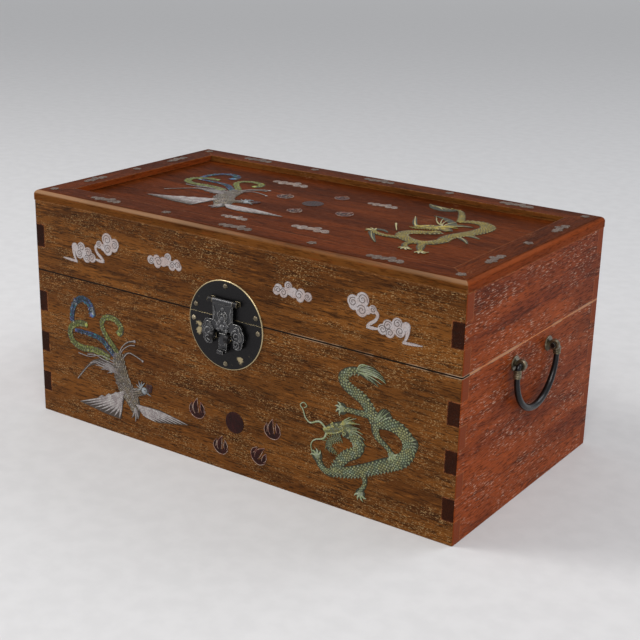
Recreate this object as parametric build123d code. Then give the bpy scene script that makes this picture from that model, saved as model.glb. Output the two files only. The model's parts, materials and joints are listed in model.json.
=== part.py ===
from build123d import *

import math
import os

# Millimetres. The origin is the centre of the underside, +Z is up, the front faces -Y
# and the lid is hinged along the back.

# Case and lid
case_width = 400.0
case_depth = 220.0
case_height = 192.0
seam_height = 125.0
board = 10.0
corner_round = 1.5
body_fingers = 7
lid_fingers = 3
base_panel_thickness = 6.0
base_panel_lift = 5.0
groove_depth = 4.0
frame_width = 23.5
frame_thickness = 8.5
frame_edge_round = 4.0
panel_recess = 5.0
panel_ledge = 6.0

# Inside: a bay for the stacked tile drawers and a bay for the accessories drawer
drawer_count = 4
rim_gap = 6.0
divider_thickness = 6.0
divider_housing = 3.0
accessories_bay = 56.0
accessories_drawer_height = 80.0
finger_well = 13.0
side_gap = 9.0
drawer_clearance = 1.0
guide_length = 20.0
drawer_wall = 6.0
drawer_bottom = 4.0
drawer_rabbet = 3.0
notch_radius = 18.0
notch_depth = 12.0

# Metal plates and nails
plate_thickness = 1.2
plate_edge_bevel = 0.35
plate_gap = 0.3
nail_radius = 0.9
nail_length = 8.0
nail_head_radius = 2.1
nail_head_height = 1.5

# Round lock plate on the front, its hasp and its two staples
lock_radius = 35.0
lock_centre_drop = 6.0
lock_nail_circle = 30.5
lock_upper_nail_angle = 22.0
hasp_pivot_above_seam = 13.0
hasp_pin_radius = 1.1
hasp_knuckle_radius = 2.2
hasp_ear_width = 4.2
hasp_strap_width = 18.6
hasp_thickness = 1.8
hasp_length = 40.5
hasp_wing_reach = 20.0
hasp_wing_radius = 6.5
hasp_wing_rise = 2.0
hasp_lobe_radius = 4.9
hasp_lobe_drop = 5.5
hasp_shoulder_radius = 4.5
hasp_shoulder_rise = 5.0
hasp_relief = 0.8
hasp_relief_margin = 2.0
hasp_boss_radius = 4.6
hasp_bud_radius = 2.6
tongue_width = 7.6
tongue_lip = 3.4
tongue_lip_height = 2.6
staple_spacing = 14.0
staple_width = 4.4
staple_notch_gap = 0.8
staple_below_seam = 13.5
staple_ring_radius = 3.3
staple_hole_radius = 1.8
staple_stem_height = 4.4
staple_root_length = 8.0

# Round hinges on the back
hinge_offset = 120.0
hinge_plate_radius = 22.0
hinge_knuckle_radius = 3.2
hinge_pin_radius = 1.4
hinge_pin_head = 1.0
hinge_pin_head_radius = 2.3
hinge_length = 30.0
hinge_middle_length = 14.0
hinge_nail_circle = 15.0

# Bail handles on the ends
handle_below_seam = 12.5
handle_shift = -5.0
eye_spacing = 54.0
eye_outer_radius = 4.2
eye_width = 3.6
eye_shank_radius = 1.6
eye_clench = 0.5
eye_clench_height = 16.0
rose_radius = 5.8
rose_thickness = 1.0
bail_end_radius = 2.0
bail_mid_radius = 2.7
bail_drop = 7.5
bail_bend_radius = 2.6
bail_leg_gap = 1.0
bail_pin_end = 1.5
bail_stations = 8

# Fits
pin_clearance = 0.05
joint_gap = 0.3

# Shell inlays
inlay_proud = 0.35
inlay_depth = 0.8
figure_stations = 14
dragon_margin = 10.9
dragon_from_edge = 83.0
dragon_rise = 2.5
phoenix_margin = 13.35
phoenix_from_edge = 96.0
phoenix_drop = 0.5
pearl_radius = 8.7
pearl_x = 8.0
pearl_height = 42.0
lid_cloud_pair_from_edge = 62.0
lid_cloud_x = 60.0
lid_cloud_rise = 3.0
top_dragon_margin = 22.0
top_dragon_from_edge = 93.0
top_dragon_rise = 8.0
top_phoenix_margin = 32.4
top_phoenix_from_edge = 125.5
top_pearl_x = -9.0
top_pearl_y = 12.0
blossom_petals = 5
blossom_radius = 3.6
frame_blossom_offset = 68.0
frame_cloud_offset = 130.0
frame_cloud_length = 30.0
end_cloud_offset = 52.0
end_cloud_length = 25.0

# Worked out from the sizes above
half_width = case_width / 2
half_depth = case_depth / 2
inner_x = half_width - board
inner_y = half_depth - board
floor_height = base_panel_lift + base_panel_thickness
lid_board_top = case_height - frame_thickness
panel_thickness = frame_thickness - panel_recess
panel_top = case_height - panel_recess
drawer_top = seam_height - rim_gap
drawer_height = (drawer_top - floor_height) / drawer_count
divider_right = inner_x - accessories_bay
divider_left = divider_right - divider_thickness
drawer_left = -inner_x + finger_well
drawer_right = divider_left - finger_well
drawer_y = inner_y - side_gap
side_guide = side_gap - drawer_clearance
end_guide = finger_well - drawer_clearance
lock_height = seam_height - lock_centre_drop
hasp_height = seam_height + hasp_pivot_above_seam
hasp_y = -half_depth - plate_thickness - joint_gap - hasp_knuckle_radius
hasp_face_y = hasp_y - hasp_thickness / 2
staple_height = seam_height - staple_below_seam
staple_eye_y = hasp_face_y - hasp_relief - joint_gap - staple_hole_radius
hinge_y = half_depth + joint_gap + hinge_knuckle_radius
eye_x = half_width + rose_thickness + eye_outer_radius
handle_axis_height = seam_height - handle_below_seam
bail_arc_radius = (eye_spacing + eye_width) / 2 + bail_bend_radius + bail_leg_gap
bail_pin_reach = (eye_spacing - eye_width) / 2 - bail_pin_end
eye_hole_radius = bail_end_radius + pin_clearance

front_face = Plane(origin=(0, -half_depth, 0), x_dir=(1, 0, 0), z_dir=(0, -1, 0))
panel_face = Plane(origin=(0, 0, panel_top))
frame_face = Plane(origin=(0, 0, case_height))


def block(x_range, y_range, z_range):
    """A box between two opposite corners."""
    sizes = [high - low for low, high in (x_range, y_range, z_range)]
    middle = [(high + low) / 2 for low, high in (x_range, y_range, z_range)]
    return Pos(*middle) * Box(*sizes)


def rod(radius, start, end):
    """A round bar from one point to another."""
    path = Vector(*end) - Vector(*start)
    return extrude(Plane(origin=start, z_dir=path) * Circle(radius), amount=path.length)


def save(name, *pieces):
    """Write one sub-part, as one solid or as a group of separate solids."""
    solids = [solid for piece in pieces for solid in piece.solids()]
    export_step(solids[0] if len(solids) == 1 else Compound(children=solids), f"parts/{name}.step")


def nails(places, out):
    """Domed nails at the given points of a surface whose normal is out."""
    made = []
    normal = Vector(*out)
    ball_radius = (nail_head_radius**2 + nail_head_height**2) / (2 * nail_head_height)
    for place in places:
        seat = Vector(*place)
        tip = seat - normal * nail_length
        ball = Pos(*(seat + normal * (nail_head_height - ball_radius))) * Sphere(ball_radius)
        cap = ball & rod(nail_head_radius, seat, seat + normal * nail_head_height)
        made.append(cap + rod(nail_radius, tip, seat))
    return made


def cut(solid, tools):
    """The solid with every tool's shape taken out of it."""
    for tool in tools:
        solid = solid - tool
    return solid


# ---------------------------------------------------------------- boards


def corner_fingers(low, high, count, first):
    """Every second finger of all four corners, counted from first."""
    pitch = (high - low) / count
    made = []
    for index in range(first, count, 2):
        z_range = (low + index * pitch, low + (index + 1) * pitch)
        for x_range in ((-half_width, -inner_x), (inner_x, half_width)):
            for y_range in ((-half_depth, -inner_y), (inner_y, half_depth)):
                made.append(block(x_range, y_range, z_range))
    return made


def ring_of_boards(low, high, count):
    """Front, back, left and right boards of a finger-jointed ring."""
    outline = block((-half_width, half_width), (-half_depth, half_depth), (low, high))
    envelope = fillet(outline.edges().filter_by(Axis.Z), corner_round)
    front = block((-half_width, half_width), (-half_depth, -inner_y), (low, high))
    back = block((-half_width, half_width), (inner_y, half_depth), (low, high))
    left = block((-half_width, -inner_x), (-half_depth, half_depth), (low, high))
    right = block((inner_x, half_width), (-half_depth, half_depth), (low, high))
    side_fingers = corner_fingers(low, high, count, 1)
    front_fingers = corner_fingers(low, high, count, 0)
    front = cut(front, side_fingers) & envelope
    back = cut(back, side_fingers) & envelope
    left = cut(left, front_fingers) & envelope
    right = cut(right, front_fingers) & envelope
    return [front, back, left, right]


def base_panel():
    reach_x = inner_x + groove_depth
    reach_y = inner_y + groove_depth
    return block((-reach_x, reach_x), (-reach_y, reach_y), (base_panel_lift, floor_height))


def divider():
    reach_y = inner_y + divider_housing
    return block((divider_left, divider_right), (-reach_y, reach_y), (floor_height, drawer_top))


def lid_panel():
    reach_x = half_width - frame_width + panel_ledge
    reach_y = half_depth - frame_width + panel_ledge
    return block((-reach_x, reach_x), (-reach_y, reach_y), (lid_board_top, panel_top))


def frame_member(corners, outward):
    """One mitred member of the lid's top frame, with a rounded outer edge."""
    outline = make_face(Polyline(*corners, close=True))
    member = extrude(Pos(0, 0, lid_board_top) * outline, amount=frame_thickness)
    outer_edge = member.edges().group_by(Axis.Z)[-1].sort_by(outward)[-1]
    return fillet(outer_edge, frame_edge_round) - lid_panel()


def lid_frame():
    """Front, back, left and right members, mitred at the corners."""
    low_x = half_width - frame_width
    low_y = half_depth - frame_width
    back_corners = [
        (-half_width, half_depth),
        (half_width, half_depth),
        (low_x, low_y),
        (-low_x, low_y),
    ]
    right_corners = [
        (half_width, half_depth),
        (half_width, -half_depth),
        (low_x, -low_y),
        (low_x, low_y),
    ]
    back = frame_member(back_corners, Axis.Y)
    right = frame_member(right_corners, Axis.X)
    return [mirror(back, about=Plane.XZ), back, mirror(right, about=Plane.YZ), right]


# ---------------------------------------------------------------- drawers


def guides():
    """Battens that hold the stacked drawers clear of the walls, and two in the small bay."""
    made = []
    height = (floor_height, drawer_top)
    reach = side_gap + guide_length
    wells = (
        (-inner_x, -inner_x + end_guide),
        (divider_left - end_guide, divider_left),
    )
    runs = (
        (drawer_left - drawer_clearance, drawer_left + guide_length),
        (drawer_right - guide_length, drawer_right + drawer_clearance),
    )
    for side in (-1, 1):
        end_y = sorted((side * inner_y, side * (inner_y - reach)))
        side_y = sorted((side * inner_y, side * (inner_y - side_guide)))
        for x_range in wells:
            made.append(block(x_range, end_y, height))
        for x_range in runs:
            made.append(block(x_range, side_y, height))
        small_height = (floor_height, floor_height + accessories_drawer_height)
        made.append(block((divider_right, inner_x), side_y, small_height))
    return made


def drawer(x_range, low, high):
    """Long walls, notched end walls and a rabbeted bottom of one open drawer."""
    left, right = x_range
    bottom = block(
        (left + drawer_wall - drawer_rabbet, right - drawer_wall + drawer_rabbet),
        (-drawer_y + drawer_wall - drawer_rabbet, drawer_y - drawer_wall + drawer_rabbet),
        (low, low + drawer_bottom),
    )
    inner = drawer_y - drawer_wall
    long_walls = [
        block(x_range, (-drawer_y, -inner), (low, high)) - bottom,
        block(x_range, (inner, drawer_y), (low, high)) - bottom,
    ]
    notch_height = high - notch_depth + notch_radius
    notch = rod(notch_radius, (left, 0, notch_height), (right, 0, notch_height))
    end_walls = [
        cut(block((left, left + drawer_wall), (-inner, inner), (low, high)), [bottom, notch]),
        cut(block((right - drawer_wall, right), (-inner, inner), (low, high)), [bottom, notch]),
    ]
    return long_walls, end_walls, bottom


def save_drawer(name, x_range, low, high):
    long_walls, end_walls, bottom = drawer(x_range, low, high)
    save(f"{name}_long_walls", *long_walls)
    save(f"{name}_end_walls", *end_walls)
    save(f"{name}_bottom", bottom)


# ---------------------------------------------------------------- lock


def lock_disc():
    """The whole round plate, before it is split at the seam."""
    back_face = (0, -half_depth, lock_height)
    front_point = (0, -half_depth - plate_thickness, lock_height)
    disc = rod(lock_radius, back_face, front_point)
    rim = disc.edges().sort_by(Axis.Y)[0]
    return chamfer(rim, plate_edge_bevel)


def lock_plates():
    """Lower and upper parts of the round plate, with a narrow gap on the seam."""
    disc = lock_disc()
    reach = (-lock_radius, lock_radius)
    depth = (-half_depth - plate_thickness, -half_depth)
    low = lock_height - lock_radius
    high = lock_height + lock_radius
    lower = disc & block(reach, depth, (low, seam_height - plate_gap / 2))
    upper = disc & block(reach, depth, (seam_height + plate_gap / 2, high))
    return lower, upper


def lock_nails():
    """Lower three and upper three nails of the round plate."""
    groups = []
    for angles in ((180, 270, 0), (lock_upper_nail_angle, 90, 180 - lock_upper_nail_angle)):
        places = []
        for angle in angles:
            x = lock_nail_circle * math.cos(math.radians(angle))
            height = lock_height + lock_nail_circle * math.sin(math.radians(angle))
            places.append((x, -half_depth - plate_thickness, height))
        groups.append(nails(places, (0, -1, 0)))
    return groups


def staples():
    """Two flat loops that stand through the lower plate, one each side of the tongue."""
    made = []
    for side in (-1, 1):
        middle = side * staple_spacing / 2
        x_range = (middle - staple_width / 2, middle + staple_width / 2)
        half_stem = staple_stem_height / 2
        root = -half_depth + staple_root_length
        stem_z = (staple_height - half_stem, staple_height + half_stem)
        stem = block(x_range, (staple_eye_y, root), stem_z)
        start = (x_range[0], staple_eye_y, staple_height)
        end = (x_range[1], staple_eye_y, staple_height)
        ring = rod(staple_ring_radius, start, end)
        ring = fillet(ring.edges().filter_by(GeomType.CIRCLE), staple_width / 4)
        made.append(stem + ring - rod(staple_hole_radius, start, end))
    return made


def hasp_outline():
    """Strap, two cloud-shaped wings and a middle tongue, drawn on the front face."""
    tip = hasp_height - hasp_length
    wing_x = hasp_wing_reach - hasp_wing_radius
    wing_z = staple_height + hasp_wing_rise
    shoulder = wing_z + hasp_shoulder_rise
    strap_length = hasp_height - shoulder
    shape = Pos(0, shoulder + strap_length / 2) * Rectangle(hasp_strap_width, strap_length)
    shape += Pos(0, shoulder) * Rectangle(2 * wing_x, 2 * hasp_shoulder_radius)
    for side in (-1, 1):
        shape += Pos(side * wing_x, wing_z) * Circle(hasp_wing_radius)
        shape += Pos(side * wing_x, wing_z - hasp_lobe_drop) * Circle(hasp_lobe_radius)
        shape += Pos(side * wing_x, shoulder) * Circle(hasp_shoulder_radius)
    tongue_end = tip + tongue_width / 2
    tongue_length = shoulder - tongue_end
    shape += Pos(0, tongue_end + tongue_length / 2) * Rectangle(tongue_width, tongue_length)
    shape += Pos(0, tongue_end) * Circle(tongue_width / 2)
    notch_width = staple_width + 2 * staple_notch_gap
    notch_top = staple_height + staple_ring_radius + staple_notch_gap
    notch_height = notch_top - tip
    for side in (-1, 1):
        place = Pos(side * staple_spacing / 2, notch_top - notch_height / 2)
        shape -= place * Rectangle(notch_width, notch_height)
    return shape


def hasp_relief_outline():
    """The raised scroll figure on the hasp."""
    wing_x = hasp_wing_reach - hasp_wing_radius
    wing_z = staple_height + hasp_wing_rise
    boss_z = wing_z + hasp_shoulder_rise + hasp_relief_margin
    shape = Pos(0, boss_z) * Circle(hasp_boss_radius)
    shape += Pos(0, boss_z + hasp_boss_radius + hasp_bud_radius / 2) * Circle(hasp_bud_radius)
    shape += Pos(0, wing_z - hasp_boss_radius) * Rectangle(tongue_width - hasp_relief_margin, 2 * hasp_boss_radius)
    for side in (-1, 1):
        shape += Pos(side * wing_x, wing_z) * Circle(hasp_wing_radius - hasp_relief_margin)
        shape += Pos(side * wing_x, wing_z + hasp_shoulder_rise) * Circle(hasp_bud_radius)
    return shape


def hasp():
    """The hanging plate, its knuckle, its relief and the lip under the lock bar."""
    centre = Plane(origin=(0, hasp_y, 0), x_dir=(1, 0, 0), z_dir=(0, -1, 0))
    outline = hasp_outline()
    back_plane = centre.offset(-hasp_thickness / 2)
    plate = extrude(back_plane * outline, amount=hasp_thickness)
    raised = extrude(back_plane * (hasp_relief_outline() & outline), amount=hasp_thickness + hasp_relief)
    half_knuckle = hasp_strap_width / 2
    start = (-half_knuckle, hasp_y, hasp_height)
    end = (half_knuckle, hasp_y, hasp_height)
    knuckle = rod(hasp_knuckle_radius, start, end)
    half_lip = (tongue_width - hasp_relief_margin) / 2
    lip_low = hasp_height - hasp_length + hasp_relief
    lip_y = (hasp_face_y - tongue_lip, hasp_y)
    lip = block((-half_lip, half_lip), lip_y, (lip_low, lip_low + tongue_lip_height))
    bore = rod(hasp_pin_radius + pin_clearance, start, end)
    return plate + raised + knuckle + lip - bore


def hasp_ears():
    """Two ears on the upper plate that carry the hasp's pin, with their bores."""
    made = []
    for side in (-1, 1):
        inner = side * (hasp_strap_width / 2 + joint_gap)
        outer = inner + side * hasp_ear_width
        knuckle = rod(hasp_knuckle_radius, (inner, hasp_y, hasp_height), (outer, hasp_y, hasp_height))
        plate_face = -half_depth - plate_thickness
        half = hasp_knuckle_radius - plate_edge_bevel
        web = block(sorted((inner, outer)), (hasp_y, plate_face), (hasp_height - half, hasp_height + half))
        made.append(knuckle + web)
    return made


def hasp_pin():
    reach = hasp_strap_width / 2 + joint_gap + hasp_ear_width
    return rod(hasp_pin_radius, (-reach, hasp_y, hasp_height), (reach, hasp_y, hasp_height))


# ---------------------------------------------------------------- hinges


def knuckle_ranges(centre):
    """The two outer knuckles of the body leaf and the middle one of the lid leaf."""
    half = hinge_length / 2
    middle = hinge_middle_length / 2
    outer = [
        (centre - half, centre - middle - joint_gap),
        (centre + middle + joint_gap, centre + half),
    ]
    return outer, [(centre - middle, centre + middle)]


def hinge_leaf(centre, side):
    """Half a round plate with its knuckles: side is 1 for the lid leaf, -1 for the body leaf."""
    outer, middle = knuckle_ranges(centre)
    own, other = (middle, outer) if side > 0 else (outer, middle)
    outside = half_depth + plate_thickness
    disc = rod(hinge_plate_radius, (centre, half_depth, seam_height), (centre, outside, seam_height))
    rim = disc.edges().sort_by(Axis.Y)[-1]
    disc = chamfer(rim, plate_edge_bevel)
    heights = sorted((seam_height + side * plate_gap / 2, seam_height + side * hinge_plate_radius))
    reach = (centre - hinge_plate_radius, centre + hinge_plate_radius)
    leaf = disc & block(reach, (half_depth, outside), heights)
    for low, high in own:
        leaf += rod(hinge_knuckle_radius, (low, hinge_y, seam_height), (high, hinge_y, seam_height))
    swept = hinge_knuckle_radius + joint_gap
    for low, high in other:
        start = (low - joint_gap, hinge_y, seam_height)
        end = (high + joint_gap, hinge_y, seam_height)
        leaf -= rod(swept, start, end)
    bore = hinge_pin_radius + pin_clearance
    half = hinge_length / 2
    leaf -= rod(bore, (centre - half, hinge_y, seam_height), (centre + half, hinge_y, seam_height))
    return leaf


def hinge_pin(centre):
    """A pin with a flat head at each end."""
    half = hinge_length / 2
    left = (centre - half, hinge_y, seam_height)
    right = (centre + half, hinge_y, seam_height)
    pin = rod(hinge_pin_radius, left, right)
    for end, side in ((left, -1), (right, 1)):
        cap_end = (end[0] + side * hinge_pin_head, hinge_y, seam_height)
        pin += rod(hinge_pin_head_radius, end, cap_end)
    return pin


def hinge_nails(centre, side):
    """Three nails through one leaf."""
    places = []
    for angle in (35, 90, 145):
        x = centre + hinge_nail_circle * math.cos(math.radians(angle))
        height = seam_height + side * hinge_nail_circle * math.sin(math.radians(angle))
        places.append((x, half_depth + plate_thickness, height))
    return nails(places, (0, 1, 0))


# ---------------------------------------------------------------- handles


def handle_eyes():
    """Two looped nails on the right end, clenched inside the case."""
    made = []
    for side in (-1, 1):
        y = handle_shift + side * eye_spacing / 2
        low = (eye_x, y - eye_width / 2, handle_axis_height)
        high = (eye_x, y + eye_width / 2, handle_axis_height)
        ring = rod(eye_outer_radius, low, high)
        ring = fillet(ring.edges().filter_by(GeomType.CIRCLE), eye_width / 4)
        shank_start = (inner_x - eye_clench, y, handle_axis_height)
        shank = rod(eye_shank_radius, shank_start, (eye_x, y, handle_axis_height))
        half = eye_clench_height / 2
        legs = block(
            (inner_x - eye_clench, inner_x),
            (y - eye_shank_radius, y + eye_shank_radius),
            (handle_axis_height - half, handle_axis_height + half),
        )
        made.append(ring + shank + legs - rod(eye_hole_radius, low, high))
    return made


def handle_roses():
    """The round washers under the eyes."""
    made = []
    for side in (-1, 1):
        y = handle_shift + side * eye_spacing / 2
        start = (half_width, y, handle_axis_height)
        end = (half_width + rose_thickness, y, handle_axis_height)
        disc = rod(rose_radius, start, end)
        rim = disc.edges().sort_by(Axis.X)[-1]
        made.append(chamfer(rim, plate_edge_bevel))
    return made


def bail():
    """The hanging handle: a half ring that swells to its middle, with inturned ends."""
    middle_z = handle_axis_height - bail_drop
    sections = []
    for station in range(bail_stations + 1):
        angle = math.pi * station / bail_stations
        swell = (bail_mid_radius - bail_end_radius) * math.sin(angle)
        place = (
            eye_x,
            handle_shift + bail_arc_radius * math.cos(angle),
            middle_z - bail_arc_radius * math.sin(angle),
        )
        along = (0, -math.sin(angle), -math.cos(angle))
        plane = Plane(origin=place, x_dir=(1, 0, 0), z_dir=along)
        sections.append(plane * Circle(bail_end_radius + swell))
    handle = loft(sections)
    for side in (-1, 1):
        path = FilletPolyline(
            (eye_x, handle_shift + side * bail_pin_reach, handle_axis_height),
            (eye_x, handle_shift + side * bail_arc_radius, handle_axis_height),
            (eye_x, handle_shift + side * bail_arc_radius, middle_z),
            radius=bail_bend_radius,
        )
        start = Plane(origin=path @ 0, z_dir=path % 0)
        handle += sweep(start * Circle(bail_end_radius), path=path)
    return handle


def on_left(pieces):
    """The same pieces on the left end."""
    return [mirror(piece, about=Plane.YZ) for piece in pieces]


# ---------------------------------------------------------------- inlays


def band(points, half_widths):
    """A tapering band along a smooth curve through the points."""
    middle = Spline(*points)
    left, right = [], []
    for station in range(figure_stations + 1):
        share = station / figure_stations
        place = share * (len(half_widths) - 1)
        index = min(int(place), len(half_widths) - 2)
        step = half_widths[index + 1] - half_widths[index]
        half = half_widths[index] + step * (place - index)
        along = middle % share
        across = Vector(-along.Y, along.X) * half
        left.append(middle @ share + across)
        right.append(middle @ share - across)
    sides = [Spline(*left), Line(left[-1], right[-1]), Spline(*right), Line(right[0], left[0])]
    return make_face(sides)


def dragon():
    """A long scaled body with a maned head, a tufted tail and four clawed feet."""
    tail = [(2, 46), (-5.5, 44.5), (-12, 37.5), (-6, 31), (6, 25.5), (12.5, 18), (17, 11.5)]
    back = [(17, 11.5), (28, 12.5), (39, 9.5), (45, 0), (41, -10.5), (30, -17.5), (19, -23)]
    belly = [(19, -23), (6, -29.5), (-5.5, -34), (-16.5, -36.5)]
    neck = [(-16.5, -36.5), (-12.5, -29), (-5.5, -21), (2.5, -15.5), (4, -8.5), (-2.5, -4), (-11, -3)]
    shape = band(tail, (2.2, 3.6, 4.4, 4.6)) + band(back, (4.6, 5.2, 5.4, 5))
    shape += band(belly, (5, 4.6, 3.6)) + band(neck, (3.4, 4.4, 4.4, 4.2, 4.6))
    shape += band([(2, 46), (9.5, 48.5), (17, 47), (23.5, 42.5)], (3, 3.2, 0.5))
    shape += band([(2, 46), (9, 43.5), (17, 39)], (2.6, 2.4, 0.5))
    shape += band([(12, 15.5), (2, 14.5), (-6, 14.5), (-13, 13.5)], (3, 2, 2, 1.5))
    shape += Pos(-11.5, 14) * Circle(4.6)
    shape += band([(17, 9), (19, 0.5), (25.5, -4), (31, -9.5)], (3.4, 2.4, 2, 1.6))
    shape += Pos(31, -10) * Circle(3)
    shape += band([(8, -30), (10, -38.5), (6, -46.5)], (2.6, 1.8, 1.4))
    shape += Pos(6.5, -47.5) * Circle(4)
    shape += band([(-15, -36.5), (-24, -38.5), (-29, -34.5), (-31.5, -29)], (3.2, 2.6, 2.8, 3.2))
    shape += Pos(-32, -28.5) * Circle(4.6)
    shape += band([(-26.5, -7), (-19, -3.5), (-10, -0.5), (2, 1.5)], (2.2, 4.6, 5, 0.6))
    shape += band([(-12, -8.5), (-19, -12), (-22.5, -17), (-15, -21.5)], (3, 2.6, 2.2, 0.6))
    shape += band([(18, 14), (25, 20.5), (30, 15)], (1.5, 2.5, 1.5))
    shape += band([(44, 8), (50, 4.5), (49.5, -3)], (1.2, 2, 0.8))
    return shape


def phoenix():
    """A flying bird with spread wings and four long curling tail feathers."""
    shape = band([(-35, 35.5), (-37, 43.5), (-44.5, 47), (-52.5, 43.5), (-57, 35), (-58, 25)], (3.4, 2.6, 2.4))
    shape += band(
        [(-42, 25.5), (-51, 25), (-59, 20), (-61, 14), (-56.5, 7), (-46.5, 4.5), (-33, 5.5), (-17, 2)],
        (2.6, 2.8, 3),
    )
    shape += band([(-54, 18.5), (-43.5, 18.5), (-33, 18), (-24, 15.5), (-17, 10), (-9.5, 4)], (1.2, 2.4, 2.4))
    shape += band(
        [(-6, 25.5), (-3.5, 30), (-6.5, 35), (-14, 37.5), (-22, 35), (-24.5, 28.5), (-21, 22), (-13, 14), (-6, 6)],
        (2.8, 2.2, 2.4),
    )
    shape += band([(-7, 6), (-6, -4), (-2.5, -15.5), (6, -27), (11, -43)], (5.5, 7.5, 8, 7, 2))
    shape += band([(2, -23), (12, -20), (20.5, -17), (27, -13)], (5, 3.2, 3.4, 1.2))
    shape += make_face(
        Polyline((0, -22), (-17, -31.5), (-53, -44.5), (-22.5, -48), (-6.5, -48.5), (-4, -36), close=True)
    )
    shape += make_face(Polyline((11, -31.5), (35.5, -29.5), (66, -34.5), (34, -41), (18, -38), close=True))
    shape += band([(-6.5, 8), (-2.5, 15.5), (11.5, 23)], (0.7, 0.5, 0.9))
    shape += band([(-3, 5), (4, 11.5), (12, 10.5), (19.5, 8)], (0.7, 0.5, 0.5))
    shape += band([(-54, -24), (-39, -8), (-34, -5), (-13, -7.5)], (0.5, 0.8, 2.4, 5))
    return shape


def top_dragon():
    """The lid's dragon: its body curls the other way and its mane streams out."""
    tail = [(-20, 61), (-12, 59.5), (-5, 50), (1, 39), (5, 29)]
    back = [(5, 29), (13, 35), (22, 35), (30, 28), (31, 17), (28, 5), (23, -6), (20, -17), (22, -27)]
    belly = [(22, -27), (18, -37), (10, -42), (0, -40), (-8, -35), (-12, -27), (-8, -19), (1, -14), (8, -7)]
    shape = band(tail, (1, 2.6, 3, 3)) + band(back, (3, 4.6, 6, 6.2, 5.6, 5, 4.4))
    shape += band(belly, (4.4, 4.8, 5, 4.6, 4.6, 4.4))
    shape += band([(-42, 64), (-33, 58), (-24, 55), (-15, 61)], (1, 5, 4.4, 2))
    shape += band([(-16, -5), (-7, 1), (3, 4), (12, -1)], (1.6, 6, 6.4, 3))
    shape += band([(1, 6), (5, 17), (-3, 27), (-20, 33)], (4, 3.6, 2.8, 0.5))
    shape += band([(3, 8), (10, 18), (21, 21)], (3.4, 3, 0.8))
    shape += band([(-10, -4), (-19, 2), (-25, 12), (-30, 21)], (1.6, 1.8, 1.6, 0.6))
    shape += band([(-5, -37), (-17, -41), (-28, -39), (-36, -32)], (3.4, 2.8, 2.8, 2.2))
    shape += band([(-33, -38), (-25, -49), (-15, -61)], (2.6, 1.8, 0.6))
    shape += band([(-37, -33), (-30, -29), (-22, -33)], (2.2, 2, 0.6))
    shape += band([(8, -41), (5, -51), (11, -61)], (3.4, 2.6, 1.2))
    shape += band([(13, -40), (19, -54), (25, -64)], (3, 3.2, 1.2))
    shape += band([(24, -4), (34, -3), (41, -6)], (2.4, 2.6, 0.6))
    shape += band([(22, -10), (33, -15), (40, -23)], (1.6, 2, 0.6))
    return shape


def lobes(places, radii):
    """Overlapping round lobes."""
    shape = Sketch()
    for place, radius in zip(places, radii):
        shape += Pos(*place) * Circle(radius)
    return shape


def cloud_pair():
    """Two lobed clouds, one above the other, each with a trailing hooked tail."""
    low_lobes = [(-17.4, -2.6), (-10.3, -1.8), (-2.9, -4.7), (1.3, -8.4), (-4.5, -9.5), (-12.4, -7)]
    high_lobes = [(18.2, 9.5), (26.1, 7), (25.4, 4.4), (18.7, 1.6), (14, 2.4), (9.7, 4)]
    shape = lobes(low_lobes, (3.4, 4.2, 4.2, 3.9, 4, 4.4))
    shape += Pos(-6.5, -5.8) * Rot(0, 0, -22) * Ellipse(9, 4.4)
    shape += lobes(high_lobes, (5.3, 4.6, 4, 4.9, 3, 3.2))
    shape += Pos(20.5, 5.5) * Circle(5)
    shape += band([(-18.6, -4), (-18.2, -9.5), (-16, -14.2)], (2, 1.3, 0.8))
    shape += band([(-15, -14.4), (-22, -14.1), (-30.8, -13.6)], (1, 1.1, 0.4))
    shape += band([(8, 3), (5.6, 0.8), (7.4, -3.4), (11.4, -6.4), (14, -9)], (1.6, 1.2, 1.2, 1.4, 0.8))
    shape += band([(14.4, -9.2), (9.5, -9.4), (4.6, -8.8)], (1.1, 1.3, 0.6))
    return shape


def cloud_row():
    """A low row of lobes with one higher lobe over a cleft."""
    row = [(-14, -1.1), (-8, 0.3), (-7.2, -3.2), (-1.4, -0.6), (3.3, 3.7), (7.4, -2.4), (11.9, 0), (13.8, -2)]
    shape = lobes(row, (3.4, 3.6, 3.4, 3.9, 3.3, 3.6, 3.7, 3.1))
    shape += Pos(-5, -1.4) * Ellipse(10, 2.6)
    shape += Pos(8, -1) * Ellipse(6, 2.6)
    return shape + Pos(4.4, 0.8) * Circle(2.4)


def cloud(length):
    """A low cloud of the given length."""
    row = cloud_row()
    return scale(row, by=length / row.bounding_box().size.X)


def blossom():
    """A round flower with equal petals."""
    shape = Circle(blossom_radius * 0.5)
    for petal in range(blossom_petals):
        turn = Rot(0, 0, petal * 360 / blossom_petals)
        shape += turn * Pos(blossom_radius * 0.62, 0) * Circle(blossom_radius * 0.42)
    return shape


def fitted(sketch, height):
    """A figure scaled about its own origin to the given height."""
    return scale(sketch, by=height / sketch.bounding_box().size.Y)


def flame(height):
    """A cup of three flame tongues, the middle one tallest."""
    shape = band([(-8, -2), (-5, -6.4), (0, -7.6), (5, -6.4), (8, -1)], (0.5, 2, 2.4, 2, 0.5))
    shape += band([(-5.5, -5), (-7.2, -1), (-5, 4.4)], (2.4, 1.7, 0.3))
    shape += band([(-1, -7), (-2.4, 0), (0.8, 9)], (3, 2.4, 0.3))
    shape += band([(4.4, -5.6), (5.8, -1), (4.2, 6)], (2.6, 2, 0.3))
    return scale(shape, by=height / shape.bounding_box().size.Y)


def inlay(plane, sketch):
    """Thin shell let into a surface and standing slightly proud of it."""
    return extrude(plane.offset(-inlay_depth) * sketch, amount=inlay_depth + inlay_proud)


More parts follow.
